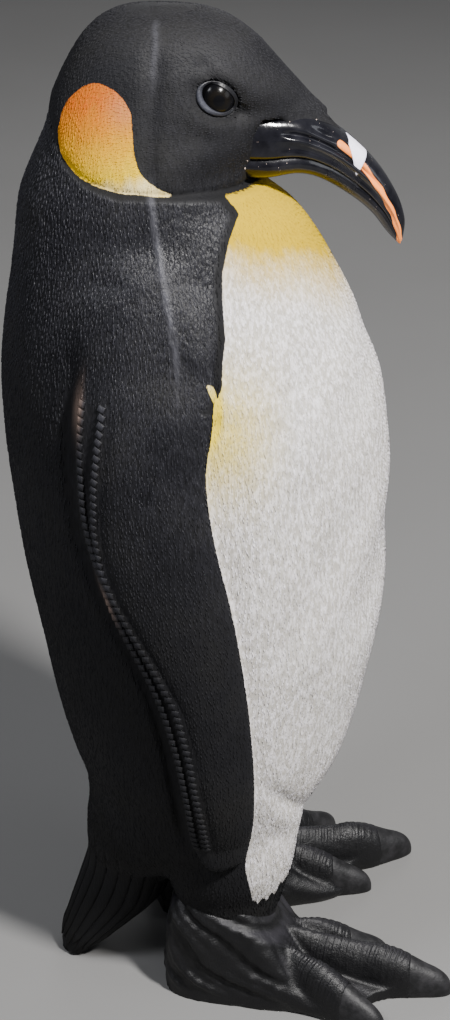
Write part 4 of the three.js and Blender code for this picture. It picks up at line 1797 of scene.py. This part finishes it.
class STATUE_OT_bill(bpy.types.Operator):
    """Makes the two halves of the lacquered bill, with nostrils, grooves and the orange stripe"""

    bl_idname = "statue.bill"
    bl_label = "Bill"

    def execute(self, context):
        finish = lacquer_material()
        tip = 1 - 0.1 * np.cos(np.linspace(0, math.pi / 2, 14)[1:])
        v = np.sort(np.concatenate([np.linspace(0, 0.9, 110), tip]))
        for name, upper in (("upper", True), ("lower", False)):
            piece = bill_half("bill_" + name + "_lacquer", v, upper)
            piece.data.materials.append(finish)
            attach(piece, "bill_lacquer", "bill_" + name)
        return {"FINISHED"}


# ---- Label and tape ----
LABEL_CORNERS = [(101, 824), (103, 832), (120.5, 815), (107.5, 797.5)]


def on_bill_side(x, z):
    """The place (v, turn) on the bill's right side that shows at x, z in the side view."""
    turns = np.linspace(0.5, 1.5, 201) * math.pi
    v, turn = np.meshgrid(np.linspace(0.25, 0.6, 141), turns, indexing="ij")
    places = bill_point(v.ravel(), turn.ravel())
    best = np.argmin(np.hypot(places[:, 0] - x, places[:, 2] - z))
    return v.ravel()[best], turn.ravel()[best]


def sheet_on_bill(name, place, along, round_steps, spread, thickness):
    """A thin closed sheet on the bill; place(s, t) gives v and turn for shares s and t."""
    s, t = np.meshgrid(np.linspace(0, 1, along), np.linspace(0, 1, round_steps), indexing="ij")
    v, turn = place(s.ravel(), t.ravel())
    points = np.concatenate([bill_point(v, turn, spread + thickness), bill_point(v, turn, spread)])
    shift = along * round_steps

    def at(i, j, layer):
        return layer * shift + i * round_steps + j

    faces = []
    for i in range(along - 1):
        for j in range(round_steps - 1):
            faces.append((at(i, j, 0), at(i + 1, j, 0), at(i + 1, j + 1, 0), at(i, j + 1, 0)))
            faces.append((at(i, j, 1), at(i, j + 1, 1), at(i + 1, j + 1, 1), at(i + 1, j, 1)))
    for i in range(along - 1):
        for j in (0, round_steps - 1):
            faces.append((at(i, j, 0), at(i + 1, j, 0), at(i + 1, j, 1), at(i, j, 1)))
    for j in range(round_steps - 1):
        for i in (0, along - 1):
            faces.append((at(i, j, 0), at(i, j + 1, 0), at(i, j + 1, 1), at(i, j, 1)))
    obj = new_mesh_object(name, points, faces)
    face_outwards(obj)
    return obj


class STATUE_OT_label(bpy.types.Operator):
    """Makes the bare paper label and the clear tape that holds it on the bill"""

    bl_idname = "statue.label"
    bl_label = "Label"

    def execute(self, context):
        corners = [on_bill_side(x, z) for x, z in LABEL_CORNERS]

        def on_label(s, t):
            (va, ta), (vb, tb), (vc, tc), (vd, td) = corners
            v = (va * (1 - s) + vb * s) * (1 - t) + (vd * (1 - s) + vc * s) * t
            turn = (ta * (1 - s) + tb * s) * (1 - t) + (td * (1 - s) + tc * s) * t
            return v, turn

        def on_tape(s, t):
            low, high = TAPE_SPAN
            ragged = 0.004 * np.sin(9 * t * math.pi) * (1 - s) + 0.003 * np.sin(13 * t * math.pi) * s
            return low + (high - low) * s + ragged, (0.52 + 1.96 * t) * math.pi

        label = sheet_on_bill("paper_label", on_label, 14, 16, 0.18, 0.12)
        label.data.materials.append(paper_material())
        attach(label, "label_paper", "label_paper")
        tape = sheet_on_bill("tape_band", on_tape, 12, 90, 0.40, 0.10)
        tape.data.materials.append(tape_material())
        attach(tape, "clear_tape", "label_tape")
        return {"FINISHED"}


# ---- The eyes ----
def from_opening(along, over):
    """From an eye opening's own axes to x and z."""
    cos, sin = math.cos(EYE_SLANT), math.sin(EYE_SLANT)
    return OPENING_CENTRE[0] + along * cos + over * sin, OPENING_CENTRE[1] - along * sin + over * cos


def skin_side(x, z):
    """How far the head's plain side stands from y = 0."""

    def inside(y):
        return core_distance(x, y, z) - head_relief(x, y, z) + 0.7 < 0

    return halve(np.full(x.shape, 20.0), np.full(x.shape, 90.0), inside, 24)


def lid_ring(side):
    """A rounded rim round the eye opening, thin above and full below and behind."""
    steps, section = 96, 14
    turn = np.linspace(0, 2 * math.pi, steps, endpoint=False)
    below = np.sin(turn) < 0
    long_half = 15.2
    high_half = np.where(below, 9.2, 9.6)
    full = np.maximum(np.cos(turn - math.radians(230)), 0) ** 1.1
    fat = 2.9 + 2.5 * full
    pinch = 1 - 0.12 * hill(np.abs(np.cos(turn)), 1.0, 0.10)
    rings = []
    for k in range(section):
        phase = 2 * math.pi * k / section
        out = 0.5 - 0.5 * math.cos(phase)
        along = (long_half + fat * out) * np.cos(turn)
        over = (high_half + fat * out) * np.sin(turn) * pinch
        x, z = from_opening(along, over)
        skin = skin_side(x, z)
        from_eye = np.hypot(x - EYE_CENTRE[0], z - EYE_CENTRE[2])
        ball = EYE_CENTRE[1] - 1.5 + np.sqrt(np.maximum(EYE_RADIUS**2 - from_eye**2, 0))
        ground = np.maximum(ball, skin - 3.0) * (1 - out) + skin * out
        swell = np.where(math.sin(phase) > 0, 0.8 + 2.2 * full, 3.0) * math.sin(phase)
        rings.append(np.stack([x, side * (ground + swell), z], 1))
    rings = np.array(rings).transpose(1, 0, 2)
    rings = np.concatenate([rings, rings[:1]])
    return swept_mesh(rings, close_start=False, close_end=False)


def lid_highlight(mesh):
    """How much painted highlight the lid's rim gets: most on its full part, below and behind."""
    places = vertex_places(mesh)
    along, over = eye_axes(places[:, 0], places[:, 2])
    lower = 0.5 + 0.5 * np.cos(np.arctan2(over / 8.6, along / 15.2) - math.radians(240))
    return 0.02 + 0.80 * lower**3.0


class STATUE_OT_eyes(bpy.types.Operator):
    """Makes the glossy eyeballs and the rounded rims of their lids"""

    bl_idname = "statue.eyes"
    bl_label = "Eyes"

    def execute(self, context):
        finish, lid_finish = eye_material(), lid_material()
        for name, side in SIDES.items():
            centre = EYE_CENTRE * [1, side, 1]
            radius = EYE_RADIUS - 0.6
            rings = []
            turn = np.linspace(0, 2 * math.pi, 64, endpoint=False)
            for tip in np.linspace(0.02, math.pi - 0.02, 40):
                flat = np.sin(tip)
                ring = np.stack([flat * np.cos(turn), np.full(64, np.cos(tip)), flat * np.sin(turn)], 1)
                rings.append(centre + ring * radius * [1, side, 1] - [0, side * 1.2, 0])
            ball = new_mesh_object("eyeball_" + name, *swept_mesh(rings))
            face_outwards(ball)
            places = vertex_places(ball.data)
            looks = np.array(from_opening(0.5, -0.5))
            store(ball.data, "iris", np.hypot(places[:, 0] - looks[0], places[:, 2] - looks[1]))
            ball.data.materials.append(finish)
            attach(ball, "eye_lacquer", "eye_" + name)

            lid = new_mesh_object("eyelid_" + name, *lid_ring(side))
            face_outwards(lid)
            store(lid.data, "ridge", lid_highlight(lid.data))
            lid.data.materials.append(lid_finish)
            attach(lid, "black_paint")
        return {"FINISHED"}


# ---- The feet ----
def toe_shape(toe, s):
    """Top height and half width of a toe at distances s along its ray, to the claw's tip."""
    _, reach, height, half_width = toe
    left = np.clip(reach - s, 0.02, None)
    rounding = np.sqrt(1 - (1 - np.clip(left / 20, 0, 1)) ** 2)
    taper = 0.66 + 0.34 * smooth_step(8, 58, left)
    along = np.clip((s - 50) / (reach - 50), 0, 1)
    fall = (height + 24) * (1 - along) ** 1.2 + (height - 5) * (1 - (1 - along) ** 1.2)
    return fall * taper * (0.14 + 0.86 * rounding), half_width * taper * (0.06 + 0.94 * rounding)


def toe_axes(toe, u, w):
    """From a foot's own frame to a toe's: distance along its ray, and across it."""
    heading = toe[0] * TOE_FAN
    s = u * math.cos(heading) + w * math.sin(heading)
    return s, -u * math.sin(heading) + w * math.cos(heading)


def section_distance(across, z, half, top, power):
    """Distance to a low rounded section that the floor cuts; a low power gives it a crest."""
    centre = 0.36 * top
    radius = np.where(z > centre, 0.64, 0.85) * top
    size, steep = oval_size(across, z - centre, half, radius, power)
    return (size - 1) / np.maximum(steep, 1e-4)


def foot_folds(u, w, z):
    """The folds of the heel and the instep, and their fine creases, in millimetres."""
    bend = 7 * np.sin(0.045 * w + 0.03 * u) + 4 * np.sin(0.09 * z - 0.05 * w)
    slant = 0.80 * z + 0.62 * u + bend
    folds = 2.2 * np.sin(slant * 0.19) + 0.9 * np.sin(slant * 0.43 + 0.07 * w + 1.3)
    creases = np.sin(u * 0.31 + w * 0.22 + 1.5 * np.sin(z * 0.11)) * np.sin(w * 0.27 - z * 0.24)
    here = smooth_step(74, 40, u) * smooth_step(6, 24, z)
    return (folds + 0.7 * creases) * here


def foot_distance(u, w, z):
    """One foot in its own frame: heel, instep, three toes and the webs between them."""
    half, top = held_table(FOOT_SLICES, u)
    boxy = 2.0 + 1.8 * smooth_step(60, 25, u)
    foot = section_distance(w, z, half, top, boxy)
    foot = cut_ends(foot, u, FOOT_SLICES[0][0], FOOT_SLICES[-1][0]) - foot_folds(u, w, z)
    for toe in TOES.values():
        s, across = toe_axes(toe, u, w)
        end = toe[1] - CLAW_LENGTH + 2
        toe_top, toe_half = toe_shape(toe, np.clip(s, TOE_ROOT, end))
        crested = 2.0 - 0.4 * smooth_step(end - 4, end - 40, s)
        body = section_distance(across, z, toe_half + 0.3, toe_top + 0.3, crested)
        body = cut_ends(body, s, TOE_ROOT, end)
        rings = np.abs(np.sin(math.pi * (s + RING_LEAN * np.abs(across)) / 7.0)) - 0.6
        height = z / np.maximum(toe_top, 1)
        crest = smooth_step(0.25, 0.7, height) * smooth_step(34, 60, s)
        body = body - 1.1 * rings * crest * smooth_step(end + 2, end - 8, s)
        knuckle = 2.2 * hill(s, toe[1] - 70, 12) * smooth_step(0.2, 0.7, height)
        foot = smooth_join(foot, body - knuckle, 5.0)
        furrow = 2.4 * hill(np.abs(across), toe_half * 0.98, 3.4) * smooth_step(28, 60, s)
        foot = foot + furrow * smooth_step(end, end - 30, s) * smooth_step(8, 20, z)
    reach = np.hypot(u, w)
    turn = np.arctan2(w, u) / TOE_FAN
    span = np.where(turn > 0, np.abs(np.sin(math.pi * turn / 1.2)), np.abs(np.sin(math.pi * turn / 0.9)))
    rim = np.interp(turn, [-0.9, 0.0, 1.2], [124, 178, 130]) - 15 * span
    web_top = 25 - 15 * smooth_step(60, 160, reach) + 1.4 * np.sin(turn * 16)
    edge = np.maximum(np.maximum(turn - 1.2, -0.9 - turn) * 0.34 * reach, reach - rim)
    web = np.maximum(np.maximum(edge, z - web_top), 20 - u)
    foot = smooth_join(foot, web, 9.0)
    return np.maximum(foot, -z)


def foot_to_tables(points, side):
    """From a foot's own frame to the statue's, on its left or right."""
    u, w, z = points.T
    x = u * math.cos(FOOT_SPLAY) - w * math.sin(FOOT_SPLAY)
    y = FOOT_PIVOT_Y + u * math.sin(FOOT_SPLAY) + w * math.cos(FOOT_SPLAY)
    return np.stack([x, side * y, z], 1)


def claw_rings(toe):
    """A smooth blunt claw: rings from inside the toe to the tip."""
    heading = toe[0] * TOE_FAN
    start, end = toe[1] - CLAW_LENGTH - 10, toe[1]
    rings = []
    for share in np.sin(np.linspace(0, math.pi / 2, 30)):
        s = start + (end - 0.15 - start) * share
        top, half = toe_shape(toe, np.array(s))
        tuck = 0.90 + 0.10 * smooth_step(start + 4, start + 14, s)
        turn = np.linspace(0, 2 * math.pi, 40, endpoint=False)
        across = half * np.cos(turn) * tuck
        lift = np.sin(turn)
        z = top * (0.36 + np.where(lift > 0, 0.64, 0.85) * lift * tuck)
        z = np.maximum(z, 0.0)
        u = s * math.cos(heading) - across * math.sin(heading)
        w = s * math.sin(heading) + across * math.cos(heading)
        rings.append(np.stack([u, w, z], 1))
    return rings


def toe_rings(u, w, z):
    """Distance along the nearest toe, and how much of its ringed crest there is, on a foot."""
    along, crest = np.zeros_like(u), np.zeros_like(u)
    for toe in TOES.values():
        s, across = toe_axes(toe, u, w)
        across = np.abs(across)
        end = toe[1] - CLAW_LENGTH
        top, half = toe_shape(toe, np.clip(s, TOE_ROOT, end))
        share = smooth_step(1.1, 0.4, across / half) * smooth_step(0.3, 0.7, z / top)
        share = share * smooth_step(44, 70, s) * smooth_step(end + 3, end - 6, s)
        along = np.where(share > crest, s + RING_LEAN * across, along)
        crest = np.maximum(share, crest)
    return along, crest


class STATUE_OT_feet(bpy.types.Operator):
    """Makes the feet, with ringed toes and webs, and their blunt claws"""

    bl_idname = "statue.feet"
    bl_label = "Feet"

    def execute(self, context):
        step = 2.6
        us = grid_lines([-70, 140, 176], [step, step])
        ws = grid_lines([-72, 84], [step])
        zs = grid_lines([-3, 118], [0.85 * step])
        field = foot_distance(*np.meshgrid(us, ws, zs, indexing="ij"))
        points, faces = surface_net(field, [us, ws, zs])

        def distance(p):
            return foot_distance(p[:, 0], p[:, 1], p[:, 2])

        points = settle(points, distance)
        points[:, 2] = np.maximum(points[:, 2], 0.0)
        # Lighter where the surface faces up and darker in creases and on downward sides: painted highlight
        # and painted shade for the foot's paint.
        ridge = np.clip(0.5 + 0.35 * (distance(points + [0, 0, 2.0]) - 2.0), 0, 1)
        along, crest = toe_rings(*points.T)
        finish, claw_finish = foot_material(), claw_material()
        for name, side in SIDES.items():
            turned = faces if side > 0 else faces[:, ::-1]
            foot = new_mesh_object("foot_skin_" + name, foot_to_tables(points, side), turned)
            store(foot.data, "ridge", ridge)
            store(foot.data, "along", along)
            store(foot.data, "crest", crest)
            foot.data.materials.append(finish)
            attach(foot, "foot_paint", "foot_" + name)
            for kind, toe in TOES.items():
                rings = [foot_to_tables(ring, side) for ring in claw_rings(toe)]
                claw = new_mesh_object("claw_shell_" + name + "_" + kind, *swept_mesh(rings))
                face_outwards(claw)
                claw.data.materials.append(claw_finish)
                attach(claw, "foot_paint", "claw_" + name + "_" + kind)
        return {"FINISHED"}


# ---- The panel, and the making in order ----
class STATUE_PT_panel(bpy.types.Panel):
    """Lists the statue's sizes, colours and making steps"""

    bl_idname = "STATUE_PT_panel"
    bl_label = "Penguin Statue"
    bl_space_type = "VIEW_3D"
    bl_region_type = "UI"
    bl_category = "Statue"

    def draw(self, context):
        scene = context.scene
        groups = (scene.statue_skin, scene.statue_coat, scene.statue_paint, scene.statue_stage)
        for group in groups:
            box = self.layout.box()
            for name in group.__annotations__:
                box.prop(group, name)
        for step in STEPS:
            self.layout.operator(step.bl_idname)


STEPS = (
    STATUE_OT_stage,
    STATUE_OT_skin,
    STATUE_OT_coat,
    STATUE_OT_scales,
    STATUE_OT_tail,
    STATUE_OT_bill,
    STATUE_OT_label,
    STATUE_OT_eyes,
    STATUE_OT_feet,
)
SETTINGS = {
    "statue_skin": StatueSkinSettings,
    "statue_coat": StatueCoatSettings,
    "statue_paint": StatuePaintSettings,
    "statue_stage": StatueStageSettings,
}


def register():
    for kind in (*SETTINGS.values(), *STEPS, STATUE_PT_panel):
        bpy.utils.register_class(kind)
    for name, kind in SETTINGS.items():
        setattr(bpy.types.Scene, name, PointerProperty(type=kind))


def unregister():
    for name in SETTINGS:
        delattr(bpy.types.Scene, name)
    for kind in reversed((*SETTINGS.values(), *STEPS, STATUE_PT_panel)):
        bpy.utils.unregister_class(kind)


def main():
    register()
    bpy.ops.statue.stage()
    bpy.ops.statue.skin()
    bpy.ops.statue.coat()
    bpy.ops.statue.scales()
    bpy.ops.statue.tail()
    bpy.ops.statue.bill()
    bpy.ops.statue.label()
    bpy.ops.statue.eyes()
    bpy.ops.statue.feet()


if __name__ == "__main__":
    main()
